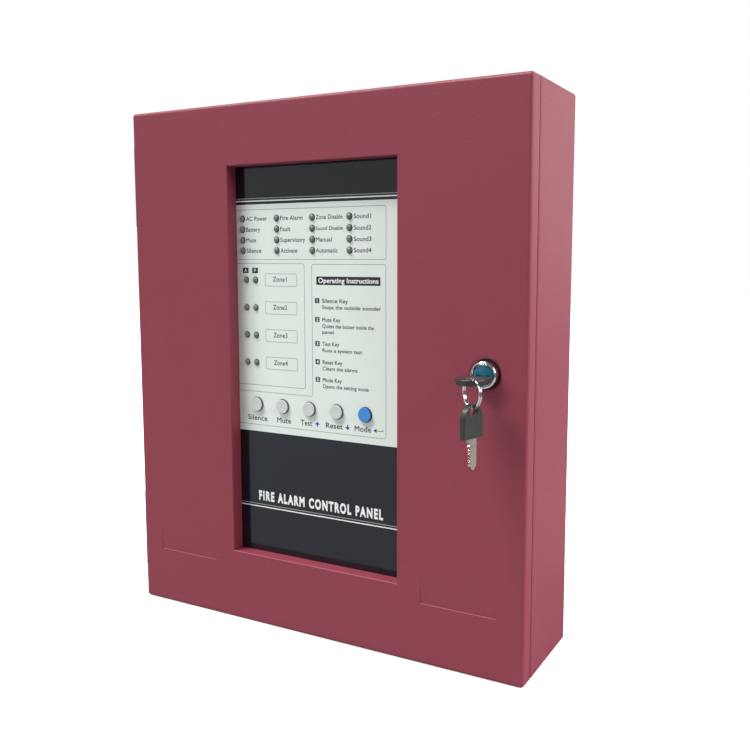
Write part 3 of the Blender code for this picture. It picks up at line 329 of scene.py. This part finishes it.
def prism(name, loops, low, high, place, materials):
    """A plate from flat loops, its faces at low and high along the plane's normal.

    place puts it in the world.
    """
    curve = bpy.data.curves.new(name, "CURVE")
    curve.dimensions = "2D"
    curve.fill_mode = "BOTH"
    curve.extrude = (high - low) / 2
    for loop in loops:
        spline = curve.splines.new("POLY")
        spline.points.add(len(loop) - 1)
        for point, (across, up) in zip(spline.points, loop):
            point.co = (across, up, 0, 1)
        spline.use_cyclic_u = True
    guide = bpy.data.objects.new(name, curve)
    bpy.context.scene.collection.objects.link(guide)
    graph = bpy.context.evaluated_depsgraph_get()
    data = bpy.data.meshes.new_from_object(guide.evaluated_get(graph))
    bpy.data.objects.remove(guide, do_unlink=True)
    mesh = bmesh.new()
    mesh.from_mesh(data)
    bmesh.ops.remove_doubles(mesh, verts=mesh.verts, dist=1e-7)
    bmesh.ops.dissolve_limit(mesh, angle_limit=radians(0.3), verts=mesh.verts, edges=mesh.edges)
    bmesh.ops.recalc_face_normals(mesh, faces=mesh.faces)
    bmesh.ops.transform(mesh, matrix=place @ Matrix.Translation((0, 0, (low + high) / 2)), verts=mesh.verts)
    return shown(name, mesh, materials)


# ---------------------------------------------------------------- steel parts
SEAL_GAP = 0.0012   # the door's folded edges stand this much further off the box than its core does


def door_skin():
    """The door, its folded edges drawn back a little from the box so that the seam reads as a dark line."""
    mesh = welded("door")
    rear = JOINT_AT["door_swing"].y
    for vert in mesh.verts:
        if abs(vert.co.y - rear) < 0.0001 and (abs(vert.co.x) > 0.1575 or abs(vert.co.z) > 0.1875):
            vert.co.y -= SEAL_GAP
    piece = shown("door_skin", mesh, RED_PAINT, 30)
    rounded(piece, 0.00022, 2)
    piece.data.set_sharp_from_angle(angle=radians(30))
    stands_for(piece, "door")


def frame_strip(name, outer, inner, low, high, material):
    """A flat rectangular frame round the panel's middle, standing on a plane of constant y."""
    loops = []
    for half_width, half_height in (outer, inner):
        loops.append([(-half_width, -half_height), (half_width, -half_height),
                      (half_width, half_height), (-half_width, half_height)])
    return prism(name, loops, -high, -low, Matrix.Rotation(radians(90), 4, "X"), material)


def door_seal():
    """A black strip on the box's lips behind the door's edges, painted shade that darkens the seam."""
    rear = JOINT_AT["door_swing"].y
    outside, inside = (0.1594, 0.1894), (0.1545, 0.1845)
    strip = frame_strip("door_seal", outside, inside, rear - 0.0009, rear + 0.0007, PAINTED_SHADE_FOAM)
    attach(strip, "box")


door_skin()
door_seal()
refined("back_box", RED_PAINT, 0.00022, 2, 30)
HINGE_LEAVES = [f"hinge_{end}_{side}_leaf" for end in ("upper", "lower") for side in ("box", "door")]
for leaf in HINGE_LEAVES:
    refined(leaf, RED_PAINT, 0.00015, 2)
for pin in ("hinge_upper_pin", "hinge_lower_pin", "lock_nut", "lock_cam", "cam_screw", "battery_strap"):
    refined(pin, ZINC, 0.00015, 2)
refined("fascia_carrier", BLACK_SHEET, 0.0001, 1)
for number in range(1, 5):
    refined(f"fascia_nut_{number}", ZINC, 0.00015, 2)
    refined(f"main_board_screw_{number}", ZINC, 0.00008, 1)
    refined(f"board_spacer_{number}", NYLON, 0.0002, 2)


# ---------------------------------------------------------------- printed label
FILM_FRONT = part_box("fascia_label")[0].y
PRINT = 0.9925 * MM   # the print is laid out in units of this size
LIGHT_HIGH = 120.3 * PRINT
LIGHT_LOW = -47.0 * PRINT
INK = 0.00002


def label_film():
    """The film in three printed areas: black above, pale in the middle, black below."""
    mesh = welded("fascia_label")
    for height in (LIGHT_LOW, LIGHT_HIGH):
        everything = mesh.verts[:] + mesh.edges[:] + mesh.faces[:]
        bmesh.ops.bisect_plane(mesh, geom=everything, plane_co=(0, 0, height), plane_no=(0, 0, 1))
    for face in mesh.faces:
        face.material_index = 0 if LIGHT_LOW < face.calc_center_bounds().z < LIGHT_HIGH else 1
    stands_for(shown("fascia_label_film", mesh, [LIGHT_FILM, BLACK_FILM]), "fascia_label")


class Ink:
    """Flat shapes of one colour, drawn as (x, z) in millimetres and made into a thin printed layer."""

    def __init__(self, name, material, level=1):
        self.name, self.material, self.level = name, material, level
        self.mesh = bmesh.new()
        self.words = bmesh.new()

    def area(self, points):
        self.mesh.faces.new([self.mesh.verts.new((x * PRINT, 0, z * PRINT)) for x, z in points])

    def block(self, left, right, low, high):
        self.area([(left, low), (right, low), (right, high), (left, high)])

    def line(self, points, width, closed=False):
        """A line of even width along points, mitred where it turns."""
        count = len(points)
        sides = []
        for k, (x, z) in enumerate(points):
            before = points[k - 1] if k or closed else None
            after = points[(k + 1) % count] if k < count - 1 or closed else None
            normals = []
            for start, end in ((before, (x, z)), ((x, z), after)):
                if start and end:
                    turn = atan2(end[1] - start[1], end[0] - start[0]) + pi / 2
                    normals.append(Vector((cos(turn), sin(turn))))
            normal = sum(normals, Vector((0, 0))).normalized()
            reach = width / 2 / max(normal.dot(normals[0]), 0.3)
            aside, above = normal.x * reach, normal.y * reach
            sides.append(((x + aside, z + above), (x - aside, z - above)))
        for k in range(count if closed else count - 1):
            (a, b), (c, d) = sides[k], sides[(k + 1) % count]
            self.area([a, b, d, c])

    def text(self, words, left, middle, cap, width=None, bold=0.0, centred=False, spaced=1.0):
        """Words with capitals of height cap about the height middle, as wide as width if that is given.

        bold thickens every stroke, as a part of the letters' size.
        """
        curve = bpy.data.curves.new("words", "FONT")
        curve.body = words
        curve.space_character = spaced
        curve.bevel_depth = bold + 0.002
        curve.bevel_resolution = 0
        guide = bpy.data.objects.new("words", curve)
        bpy.context.scene.collection.objects.link(guide)
        graph = bpy.context.evaluated_depsgraph_get()
        data = bpy.data.meshes.new_from_object(guide.evaluated_get(graph))
        bpy.data.objects.remove(guide, do_unlink=True)
        low = min(vert.co.x for vert in data.vertices)
        span = max(vert.co.x for vert in data.vertices) - low
        tall = cap / CAP_HEIGHT
        wide = width / span if width else tall
        start = left - span * wide / 2 if centred else left
        front, back = FILM_FRONT - INK * self.level, FILM_FRONT + INK / 2
        for vert in data.vertices:
            x, z = (vert.co.x - low) * wide + start, vert.co.y * tall + middle - cap / 2
            share = (vert.co.z / curve.bevel_depth + 1) / 2
            vert.co = (x * PRINT, back + (front - back) * share, z * PRINT)
        self.words.from_mesh(data)
        bpy.data.meshes.remove(data)

    def done(self):
        """Stands the flat shapes on the film as a layer with a thickness."""
        bmesh.ops.remove_doubles(self.mesh, verts=self.mesh.verts, dist=1e-7)
        for face in self.mesh.faces:
            face.normal_update()
            if face.normal.y > 0:
                face.normal_flip()
        front = FILM_FRONT - INK * self.level
        bmesh.ops.translate(self.mesh, vec=(0, front, 0), verts=self.mesh.verts)
        made = bmesh.ops.extrude_face_region(self.mesh, geom=self.mesh.faces[:])["geom"]
        back = [item for item in made if isinstance(item, bmesh.types.BMVert)]
        bmesh.ops.translate(self.mesh, vec=(0, INK * (self.level + 0.5), 0), verts=back)
        bmesh.ops.recalc_face_normals(self.mesh, faces=self.mesh.faces)
        letters = bpy.data.meshes.new("letters")
        self.words.to_mesh(letters)
        self.words.free()
        self.mesh.from_mesh(letters)
        bpy.data.meshes.remove(letters)
        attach(shown(self.name, self.mesh, self.material), "door_leaf")


CAP_HEIGHT = 0.682
dark, lines, white, dim, blue = (
    Ink("label_dark_print", DARK_INK),
    Ink("label_fine_lines", LINE_INK),
    Ink("label_white_print", WHITE_INK, 2),
    Ink("label_dim_print", DIM_INK),
    Ink("label_blue_print", BLUE_INK),
)


def corner(x, z, radius, start):
    """A quarter turn about (x, z), clockwise from the start angle in degrees."""
    turns = [radians(start - 90 * k / 6) for k in range(7)]
    return [(x + radius * cos(turn), z + radius * sin(turn)) for turn in turns]


def frame_open_left(top, right, low, radius=1.6):
    """A rounded frame whose left side is out of sight behind the window's edge."""
    points = [(-78, top)] + corner(right - radius, top - radius, radius, 90)
    points += corner(right - radius, low + radius, radius, 0) + [(-78, low)]
    lines.line(points, 0.32)


STATUS_WORDS = [
    ["AC Power", "Battery", "Mute", "Silence"],
    ["Fire Alarm", "Fault", "Supervisory", "Activate"],
    ["Zone Disable", "Sound Disable", "Manual", "Automatic"],
    ["Sound1", "Sound2", "Sound3", "Sound4"],
]
STATUS_WIDE = [
    [19.1, 12.6, 8.8, 13.4],
    [19.5, 8.8, 21.4, 14.6],
    [22.2, 22.4, 13.2, 18.0],
    [13.8, 13.9, 13.9, 13.9],
]
STATUS_LEFT = [-61.3, -30.7, -0.3, 30.7]
STATUS_ROWS = [110.0, 102.2, 94.5, 86.9]
ZONE_ROWS = [65.8, 45.5, 25.2, 4.9]
KEY_WORDS = [
    (51.7, ["Silence Key", "Stops the outside sounder"], [21.3, 47.5]),
    (38.4, ["Mute Key", "Quiets the buzzer inside the", "panel"], [15.0, 42.0, 9.4]),
    (21.3, ["Test Key", "Runs a system test"], [14.0, 32.5]),
    (8.3, ["Reset Key", "Clears the alarms"], [16.5, 28.8]),
    (-4.4, ["Mode Key", "Opens the setting mode"], [16.0, 37.8]),
]
BUTTON_WORDS = [
    ("Silence", -53.7, 18.0),
    ("Mute", -29.6, 12.4),
    ("Test", -9.8, 10.0),
    ("Reset", 13.9, 14.2),
    ("Mode", 37.4, 13.4),
]


def print_label():
    """The label's frames, words and lines, in its two inks and the title's white."""
    for column, words in enumerate(STATUS_WORDS):
        for row, word in enumerate(words):
            small = 0.85 if word == "Sound Disable" else 1.0
            wide = STATUS_WIDE[column][row]
            dark.text(word, STATUS_LEFT[column], STATUS_ROWS[row], 3.0 * small, wide, 0.016, spaced=1.06)
    frame_open_left(116.5, 56.0, 80.6)
    frame_open_left(77.6, -10.4, -12.0)
    right_frame = corner(-2.4, 75.6, 1.6, 180) + corner(54.2, 75.6, 1.6, 90)
    right_frame += corner(54.2, -40.4, 1.6, 0) + [(-78, -42.0)]
    step = [(-78, -17.0)] + corner(-5.6, -15.4, 1.6, 270)[:1] + [(-4.6, -16.6), (-4.0, -15.4)]
    lines.line(step + right_frame, 0.32)
    for letter, middle in (("A", -62.4), ("F", -53.8)):
        dark.block(middle - 2.6, middle + 2.6, 70.5, 74.5)
        white.text(letter, middle, 72.5, 2.3, None, 0.02, True)
    for number, middle in enumerate(ZONE_ROWS, 1):
        box = corner(-17.9, middle + 3.5, 0.9, 90) + corner(-17.9, middle - 3.6, 0.9, 0)
        box += corner(-43.9, middle - 3.6, 0.9, 270) + corner(-43.9, middle + 3.5, 0.9, 180)
        lines.line(box, 0.3, True)
        dark.text(f"Zone{number}", -31.8, middle + 0.5, 3.3, 12.4, 0.012, True, 1.05)
    dark.block(-0.2, 51.6, 62.8, 68.7)
    white.text("Operating Instructions", 1.5, 65.9, 3.2, 48.6, 0.03, spaced=1.05)
    for number, (top, words, wide) in enumerate(KEY_WORDS, 1):
        dark.block(-1.5, 2.2, top - 1.8, top + 1.8)
        white.text(str(number), 0.35, top, 2.4, None, 0.02, True)
        for row, word in enumerate(words):
            drop = 4.5 * row if row < 2 else 4.5 + 4.2 * (row - 1)
            dark.text(word, 4.5, top - drop, 2.7 - 0.2 * min(row, 1), wide[row], 0.02, spaced=1.06)
    for word, middle, wide in BUTTON_WORDS:
        dark.text(word, middle, -36.8, 3.8, wide, 0.016, True, 1.05)
    for middle, up in ((-0.4, 1), (25.0, -1)):
        base = -36.9 - 0.3 * up
        blue.area([(middle - 2.1, base), (middle + 2.1, base), (middle, -36.9 + 1.9 * up)])
        blue.block(middle - 0.5, middle + 0.5, *sorted((-36.9 - 0.3 * up, -36.9 - 1.9 * up)))
    blue.area([(45.8, -37.0), (48.4, -35.4), (48.4, -38.6)])
    dark.line([(48.4, -37.0), (53.4, -37.0), (53.4, -35.4)], 0.4)
    rules = [(124.5, 0.5, dim), (122.7, 0.85, white), (-102.7, 0.5, dim), (-104.6, 0.8, white)]
    for height, wide, ink in rules:
        ink.block(-79, 79, height - wide / 2, height + wide / 2)
    white.text("FIRE ALARM CONTROL PANEL", -53.6, -96.0, 6.6, 107.1, 0.045, spaced=1.3)
    for ink in (dark, lines, white, dim, blue):
        ink.done()


label_film()
print_label()


# ---------------------------------------------------------------- lamps and buttons
def lamp_bar(node):
    """A holder with a clear-cased lamp wherever the CAD bar has one."""
    low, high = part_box(node)
    back = [vert.co for vert in NODES[node].data.vertices if vert.co.y < low.y + 0.0002]
    places = sorted({round(point.x / MM / 7) for point in back})
    middles = []
    for place in places:
        near = [point.x for point in back if round(point.x / MM / 7) == place]
        middles.append((min(near) + max(near)) / 2)
    height = (low.z + high.z) / 2
    mesh = bmesh.new()
    add_block(mesh, (low.x, low.y + 0.0045, low.z), high)
    bmesh.ops.bevel(mesh, geom=mesh.edges[:], offset=0.0003, segments=2, affect="EDGES", profile=0.5)
    for face in mesh.faces:
        face.material_index = 2
    wide = 0.00235
    nose = []
    for slope in (0, 10, 20, 30, 42, 55, 70, 90):
        nose.append((wide * sin(radians(slope)), low.y + wide * (1 - cos(radians(slope)))))
    nose += [(wide, low.y + 0.0048), (0, low.y + 0.0048)]
    for x in middles:
        made = add_turned(mesh, nose, (x, 0, height), (0, 1, 0), 28, 0)
        for face in made:
            middle = face.calc_center_median()
            if Vector((middle.x - x, middle.z - height)).length > wide * 0.80:
                face.material_index = 1
    piece = shown(node + "_lamps", mesh, [LENS, LENS_RIM, LED_HOLDER])
    stands_for(piece, node)


def button_cap(name, colour, shade):
    """A round cap with a soft edge and a faintly dished face, on its flange and stem, all behind the edge in a
    darker copy of its plastic as painted shade.
    """
    node = f"button_{name}"
    low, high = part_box(node)
    middle = (low + high) / 2
    face, radius, soft = low.y, 0.0050, 0.0003
    edge = []
    for slope in (0, 22, 45, 68, 90):
        inward, back = soft * (1 - cos(radians(slope))), soft * (1 - sin(radians(slope)))
        edge.append((radius - inward, face + back))
    profile = [(0, high.y), (0.0018, high.y), (0.0018, high.y - 0.0004), (0.0064, high.y - 0.0004)]
    profile += [(0.0064, high.y - 0.0014), (radius, high.y - 0.0014)] + edge
    profile += [(radius - 0.0012, face + 0.00003), (0.0022, face + 0.00013), (0, face + 0.00016)]
    mesh = bmesh.new()
    for part in add_turned(mesh, profile, (middle.x, 0, middle.z), (0, 1, 0), 64):
        # Faces behind the soft edge take the darker copy: painted shade on the cap's side.
        part.material_index = 1 if part.calc_center_median().y > face + soft * 0.9 else 0
    stands_for(shown(f"{node}_cap", mesh, [colour, shade], 50), node)


for number in range(1, 5):
    lamp_bar(f"status_leds_{number}")
    lamp_bar(f"zone_leds_{number}")
for name in ("silence", "mute", "test", "reset"):
    button_cap(name, PALE_BUTTON, PALE_BUTTON_PAINTED_SHADE)
button_cap("mode", BLUE_BUTTON, BLUE_BUTTON_PAINTED_SHADE)


# ---------------------------------------------------------------- lock and keys
LOCK = JOINT_AT["lock_turn"]


def lock_bezel():
    """The chrome barrel: a rounded rim round the key's opening."""
    rim = [(0.00875, 0.0012), (0.00875, -0.0036), (0.00868, -0.0041), (0.00845, -0.0045), (0.0081, -0.00485)]
    rim += [(0.0077, -0.00498), (0.0073, -0.00495), (0.0070, -0.0047), (0.0069, -0.0042), (0.0069, -0.0032)]
    barrel = [(0.0061, 0.0154), (0.0078, 0.0154), (0.0080, 0.0152), (0.0080, 0.0012)]
    profile = barrel + rim + [(0.0061, -0.0032)]
    mesh = bmesh.new()
    add_turned(mesh, profile, LOCK, (0, 1, 0), 72)
    stands_for(shown("lock_body_chrome", mesh, CHROME, 40), "lock_body")


def lock_face():
    """The blue disc in the rim, with fine rays pressed into its face round the keyway."""
    mesh = bmesh.new()
    steps, radius = 72, 0.0066
    rows = [(radius, -0.0033), (radius, -0.0040), (0.0063, -0.0043), (0.0052, -0.00445), (0.0028, -0.00452)]
    rings = []
    for row, (wide, depth) in enumerate(rows):
        ring = []
        for k in range(steps):
            ray = 0.00009 * (k % 2) if row >= 3 else 0.0
            turn = 2 * pi * k / steps
            ring.append(mesh.verts.new(LOCK + Vector((wide * cos(turn), depth + ray, wide * sin(turn)))))
        rings.append(ring)
    for first, second in zip(rings, rings[1:]):
        for k in range(steps):
            mesh.faces.new((first[k], first[(k + 1) % steps], second[(k + 1) % steps], second[k]))
    tip = mesh.verts.new(LOCK + Vector((0, -0.00458, 0)))
    base = mesh.verts.new(LOCK + Vector((0, -0.0033, 0)))
    for k in range(steps):
        mesh.faces.new((rings[-1][k], rings[-1][(k + 1) % steps], tip))
        mesh.faces.new((rings[0][(k + 1) % steps], rings[0][k], base))
    bmesh.ops.recalc_face_normals(mesh, faces=mesh.faces)
    piece = shown("lock_insert_disc", mesh, BLUE_INSERT, 12)
    slot = bmesh.new()
    low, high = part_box("key_blade")
    gap = Vector((0.0003, 0.01, 0.0003))
    add_block(slot, low - gap, high + gap)
    cut(piece, shown("insert_slot", slot, BLUE_INSERT))
    stands_for(piece, "lock_insert")


def key_pieces(prefix, hole, along, across):
    """A key with a moulded head and a milled blade. hole is its hanging hole, along runs down the blade."""
    along, across = Vector(along), Vector(across)
    place = Matrix.Translation(hole) @ Matrix((across, along, across.cross(along))).transposed().to_4x4()
    half, reach, up = 0.0095, 0.0165, 0.0043
    arc = [(half * cos(pi + pi * k / 32), half - up + half * sin(pi + pi * k / 32)) for k in range(33)]
    base = [(half, reach - 0.0016), (half - 0.0005, reach - 0.0005), (half - 0.0016, reach)]
    outline = arc + base + [(-x, y) for x, y in reversed(base)]
    head = prism(prefix + "key_head_moulded", [outline], -0.0019, 0.0019, place, KEY_PLASTIC)
    rounded(head, 0.0008, 4, 60)
    mouth = [(0, 0.003), (0.00523, 0.003), (0.0028, 0.0004)]
    mouth += [(0.0028, -0.0004), (0.00523, -0.003), (0, -0.003)]
    hole_tool = turned("hole_tool", mouth, (0, 0, 0), (0, 0, 1), KEY_PLASTIC, 40)
    hole_tool.data.transform(place)
    cut(head, hole_tool)
    pocket = bmesh.new()
    add_block(pocket, (-0.0042, reach - 0.0073, -0.0013), (0.0042, reach + 0.01, 0.0013))
    pocket_tool = shown("pocket_tool", pocket, KEY_PLASTIC)
    pocket_tool.data.transform(place)
    cut(head, pocket_tool)
    stands_for(head, prefix + "key_head")
    blade = shown(prefix + "key_blade_milled", welded(prefix + "key_blade"), NICKEL)
    rounded(blade, 0.00012, 2, 30)
    stands_for(blade, prefix + "key_blade")


def ring():
    """The split ring: two coils of half-round wire, sprung slightly apart where it is cut."""
    spare = next(joint for joint in frame["joints"] if joint["name"] == "spare_key_swing")
    way = Vector(spare["axis"])
    radius, half_across, half_along, pitch = 0.00885, 0.0006, 0.0005, 0.0012
    per_turn, corners = 72, 12
    count = 2 * per_turn - 8
    square = Matrix((way, Vector((-way.y, way.x, 0)), Vector((0, 0, 1)))).transposed()
    centre = JOINT_AT["spare_key_swing"] + Vector((0, 0, radius))
    mesh = bmesh.new()
    rings = []
    for k in range(count):
        turn = 2 * pi * k / per_turn + radians(70)
        along = pitch * (k - count / 2) / per_turn
        row = []
        for c in range(corners):
            angle = 2 * pi * c / corners
            across = half_across * cos(angle) * (1.0 if abs(cos(angle)) < 0.7 else 0.94)
            out = radius + across
            point = Vector((out * cos(turn), along + half_along * sin(angle), out * sin(turn)))
            row.append(mesh.verts.new(centre + square @ point))
        rings.append(row)
    for first, second in zip(rings, rings[1:]):
        for c in range(corners):
            after = (c + 1) % corners
            mesh.faces.new((first[c], first[after], second[after], second[c]))
    mesh.faces.new(rings[0])
    mesh.faces.new(rings[-1])
    bmesh.ops.recalc_face_normals(mesh, faces=mesh.faces)
    stands_for(shown("split_ring_wire", mesh, CHROME, 50), "split_ring")


def hole_of(node, along):
    """The hanging hole of a key head: 4.3 mm from the end of the head that the blade points away from."""
    low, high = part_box(node)
    middle = (low + high) / 2
    along = Vector(along)
    size = high - low
    end = middle - Vector((along.x * size.x, along.y * size.y, along.z * size.z)) / 2
    return end + along * 0.0043


def lock_gasket():
    """A black ring under the barrel's rim, painted shade in the dish round the barrel."""
    seat = LOCK + Vector((0, 0.0014, 0))
    profile = [(0.0090, 0.0), (0.0090, -0.0004), (0.0094, -0.0004), (0.0097, -0.0001), (0.0097, 0.0)]
    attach(turned("lock_gasket", profile, seat, (0, 1, 0), PAINTED_SHADE_FOAM, 64), "door_leaf")


lock_bezel()
lock_gasket()
refined("lock_plug", BRASS, 0.0001, 1)
lock_face()
key_pieces("", hole_of("key_head", (0, 1, 0)), (0, 1, 0), (1, 0, 0))
SPARE_TURN = radians(257)
SPARE_ACROSS = (cos(SPARE_TURN), sin(SPARE_TURN), 0)
key_pieces("spare_", hole_of("spare_key_head", (0, 0, -1)), (0, 0, -1), SPARE_ACROSS)
ring()


# ---------------------------------------------------------------- inside the box
MAIN_FACE = -0.0111      # the boards' faces that carry parts
DISPLAY_BACK = -0.0638


def board_skin(node, face, toward):
    """A board with its soldered-on sockets and chips in their own dark plastic."""
    mesh = welded(node)
    for part in mesh.faces:
        part.material_index = 1 if (part.calc_center_median().y - face) * toward > 0.0002 else 0
    piece = shown(node + "_skin", mesh, [BOARD_GREEN, CHIP_BLACK])
    stands_for(rounded(piece, 0.00012, 1), node)


board_skin("main_board", MAIN_FACE, -1)
board_skin("display_board", DISPLAY_BACK, 1)
for row in ("zone_terminals", "sounder_terminals"):
    refined(row, TERMINAL_GREEN, 0.00015, 2)
for part in ("buzzer", "mains_terminals"):
    refined(part, DARK_PLASTIC, 0.0002, 2)
for part in ("relay_1", "relay_2"):
    refined(part, RELAY_PLASTIC, 0.00015, 1)
refined("transformer_core", CORE_STEEL, 0.0002, 1)
refined("transformer_coil", COIL_TAPE, 0.0003, 2)
refined("fuse_link", FUSE_GLASS, 0.0001, 1)


def battery_case(node):
    """The case with its two tinned tabs, which stand above the lid."""
    mesh = welded(node)
    top = max(vert.co.z for vert in mesh.verts) - 0.0051
    for face in mesh.faces:
        face.material_index = 1 if face.calc_center_median().z > top + 0.0001 else 0
    piece = shown(node + "_case", mesh, [BATTERY_CASE, SOLDER])
    stands_for(rounded(piece, 0.0003, 2), node)


def terminal_screws(node, count):
    """A slotted screw head down each well of a terminal row."""
    low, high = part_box(node)
    pitch = (high.x - low.x) / count
    mesh = bmesh.new()
    for k in range(count):
        x, z, face = low.x + pitch * (k + 0.5), high.z - 0.0038, low.y + 0.0015
        head = [(0.0004, face + 0.0003), (0.0017, face + 0.0003), (0.0019, face + 0.0005), (0.0019, face + 0.0009)]
        add_turned(mesh, head + [(0.0004, face + 0.0009)], (x, 0, z), (0, 1, 0), 20)
        add_block(mesh, (x - 0.0004, face + 0.0006, z - 0.0015), (x + 0.0004, face + 0.00085, z + 0.0015))
    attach(shown(node + "_screws", mesh, ZINC), "box")


def board_dressing(node, body, face, toward, taken, seed, area):
    """Small parts, pads and traces on a board, on a regular grid outside the areas already taken."""
    left, right, low, high = area
    parts, pads, traces = bmesh.new(), bmesh.new(), bmesh.new()
    step = 0.0075
    columns, rows = int((right - left) / step), int((high - low) / step)
    for column in range(columns):
        for row in range(rows):
            x, z = left + step * (column + 0.5), low + step * (row + 0.5)
            if any(a - 0.004 < x < b + 0.004 and c - 0.004 < z < d + 0.004 for a, b, c, d in taken):
                continue
            pick = (column * 7 + row * 13 + seed * 5 + column * row) % 10
            across = pick % 2
            length, width = (0.0026, 0.0013) if pick < 7 else (0.0044, 0.0030)
            half_x, half_z = (length / 2, width / 2) if across else (width / 2, length / 2)
            rise = 0.0006 if pick < 7 else 0.0012
            if pick in (3, 8):
                continue
            span = sorted((face, face + toward * rise))
            made = add_block(parts, (x - half_x * 0.62, span[0], z - half_z * (1 if across else 0.62)),
                             (x + half_x * 0.62, span[1], z + half_z * (1 if across else 0.62)))
            for vert in made:
                for linked in vert.link_faces:
                    linked.material_index = pick % 2
            for side in (-1, 1):
                px, pz = (x + side * half_x * 0.85, z) if across else (x, z + side * half_z * 0.85)
                pad = sorted((face, face + toward * rise * 0.5))
                add_block(pads, (px - 0.0005, pad[0], pz - 0.0005), (px + 0.0005, pad[1], pz + 0.0005))
            thin = sorted((face, face + toward * 0.00004))
            if pick != 5:
                run_x = step if across else 0.00025
                run_z = 0.00025 if across else step
                add_block(traces, (x, thin[0], z), (x + run_x, thin[1], z + run_z))
    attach(shown(node + "_parts", parts, [CHIP_BLACK, CERAMIC_TAN]), body)
    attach(shown(node + "_pads", pads, SOLDER), body)
    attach(shown(node + "_traces", traces, COPPER_TRACE), body)


battery_case("battery_left")
battery_case("battery_right")
terminal_screws("zone_terminals", 12)
terminal_screws("sounder_terminals", 10)
terminal_screws("mains_terminals", 6)


def flat_box(node):
    """A node's box as seen from the front: left, right, low and high."""
    low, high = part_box(node)
    return low.x, high.x, low.z, high.z


TAKEN = [flat_box(node) for node in ("zone_terminals", "sounder_terminals", "buzzer", "relay_1", "relay_2")]
TAKEN += [flat_box(f"main_board_screw_{number}") for number in range(1, 5)]
TAKEN += [(0.000, 0.014, 0.010, 0.024), (-0.030, -0.020, 0.012, 0.019), (-0.055, -0.025, 0.062, 0.071)]
TAKEN += [(0.060, 0.085, 0.000, 0.003), (-0.002, 0.002, -0.010, 0.000), (-0.057, -0.019, 0.035, 0.045)]
board_low, board_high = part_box("main_board")
board_dressing("main_board", "box", MAIN_FACE, -1, TAKEN, 1,
               (board_low.x + 0.004, board_high.x - 0.004, board_low.z + 0.018, board_high.z - 0.004))
TAKEN = [flat_box(f"board_spacer_{number}") for number in range(1, 5)]
TAKEN += [(-0.030, -0.016, 0.030, 0.044), (0.010, 0.020, 0.060, 0.067), (-0.018, 0.012, -0.005, 0.004)]
board_low, board_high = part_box("display_board")
board_dressing("display_board", "door_leaf", DISPLAY_BACK, 1, TAKEN, 4,
               (board_low.x + 0.003, board_high.x - 0.003, board_low.z + 0.004, board_high.z - 0.004))


# ---------------------------------------------------------------- floor, light and camera
def soft_light(name, place, aim, size, power, colour=(1, 1, 1)):
    """A rectangular lamp. aim is the point it faces, or None to face straight down."""
    lamp = bpy.data.lights.new(name, "AREA")
    lamp.shape = "RECTANGLE"
    lamp.size, lamp.size_y = size
    lamp.energy = power
    lamp.color = colour
    holder = bpy.data.objects.new(name, lamp)
    holder.location = place
    if aim:
        holder.rotation_euler = (Vector(aim) - Vector(place)).to_track_quat("-Z", "Y").to_euler()
    bpy.context.scene.collection.objects.link(holder)


def floor_sheet(name, drop, reach, colour, glow):
    """A pale sheet under the panel, drop below its lowest point."""
    mesh = bmesh.new()
    bmesh.ops.create_grid(mesh, x_segments=8, y_segments=8, size=reach)
    bmesh.ops.translate(mesh, vec=(0, 0, CAD_BOX[0].z - drop), verts=mesh.verts)
    pale = finish_of(name, colour, 0.7, spread=0.004, patch=2, rough_spread=0.02,
                     sockets={"Emission Color": (1, 1, 1, 1), "Emission Strength": glow})
    sheet = shown(name, mesh, pale)
    return sheet


def floor():
    """A white floor as it looks, over a duller sheet of the same stage that bounces light at the panel."""
    seen = floor_sheet("floor", 0.0003, 6.0, (248, 248, 248), 0.62)
    seen.visible_diffuse = False
    seen.visible_glossy = False
    seen.visible_shadow = False
    bounce = floor_sheet("floor_bounce", 0.0006, 0.8, (156, 157, 159), 0.0)
    bounce.visible_camera = False


def world(ambient):
    """White to the camera, and a softer pale surround for light and reflections."""
    made = bpy.data.worlds.new("surround")
    bpy.context.scene.world = made
    made.use_nodes = True
    tree = made.node_tree
    seen = tree.nodes["Background"]
    seen.inputs["Color"].default_value = (1, 1, 1, 1)
    around = tree.nodes.new("ShaderNodeBackground")
    around.inputs["Color"].default_value = (1.0, 1.0, 1.0, 1)
    around.inputs["Strength"].default_value = ambient
    path = tree.nodes.new("ShaderNodeLightPath")
    mix = tree.nodes.new("ShaderNodeMixShader")
    tree.links.new(path.outputs["Is Camera Ray"], mix.inputs["Fac"])
    tree.links.new(around.outputs["Background"], mix.inputs[1])
    tree.links.new(seen.outputs["Background"], mix.inputs[2])
    tree.links.new(mix.outputs["Shader"], tree.nodes["World Output"].inputs["Surface"])


def camera():
    """The camera, above and to the right of the panel's front."""
    data = bpy.data.cameras.new("camera")
    data.lens = 40.945
    data.shift_x = -0.0203
    data.shift_y = -0.0307
    data.clip_start = 0.01
    holder = bpy.data.objects.new("camera", data)
    holder.location = (0.3323, -0.5740, 0.0806)
    holder.rotation_euler = (pi / 2 - 0.1091, 0.0, 0.5011)
    bpy.context.scene.collection.objects.link(holder)
    bpy.context.scene.camera = holder


floor()
world(0.2)
soft_light("overhead_strip", (-3.25, -2.6, 6.75), None, (4.5, 1.4), 930)
soft_light("right_fill", (2.6, 0.75, 1.4), (0, 0.75, 0), (3.7, 1.5), 128)
soft_light("back_right_reflector", (0.9, 2.2, 0.4), (0.16, 0, 0), (1.3, 1.0), 6)
soft_light("high_front_reflector", (-1.11, -1.93, 1.13), (0, -0.08, 0.1), (1.6, 0.5), 6)
soft_light("front_left_reflector", (-1.1, -1.5, 0.05), (0, -0.08, 0.0), (1.3, 0.9), 1.9)
camera()
bpy.context.scene.view_settings.view_transform = "Standard"
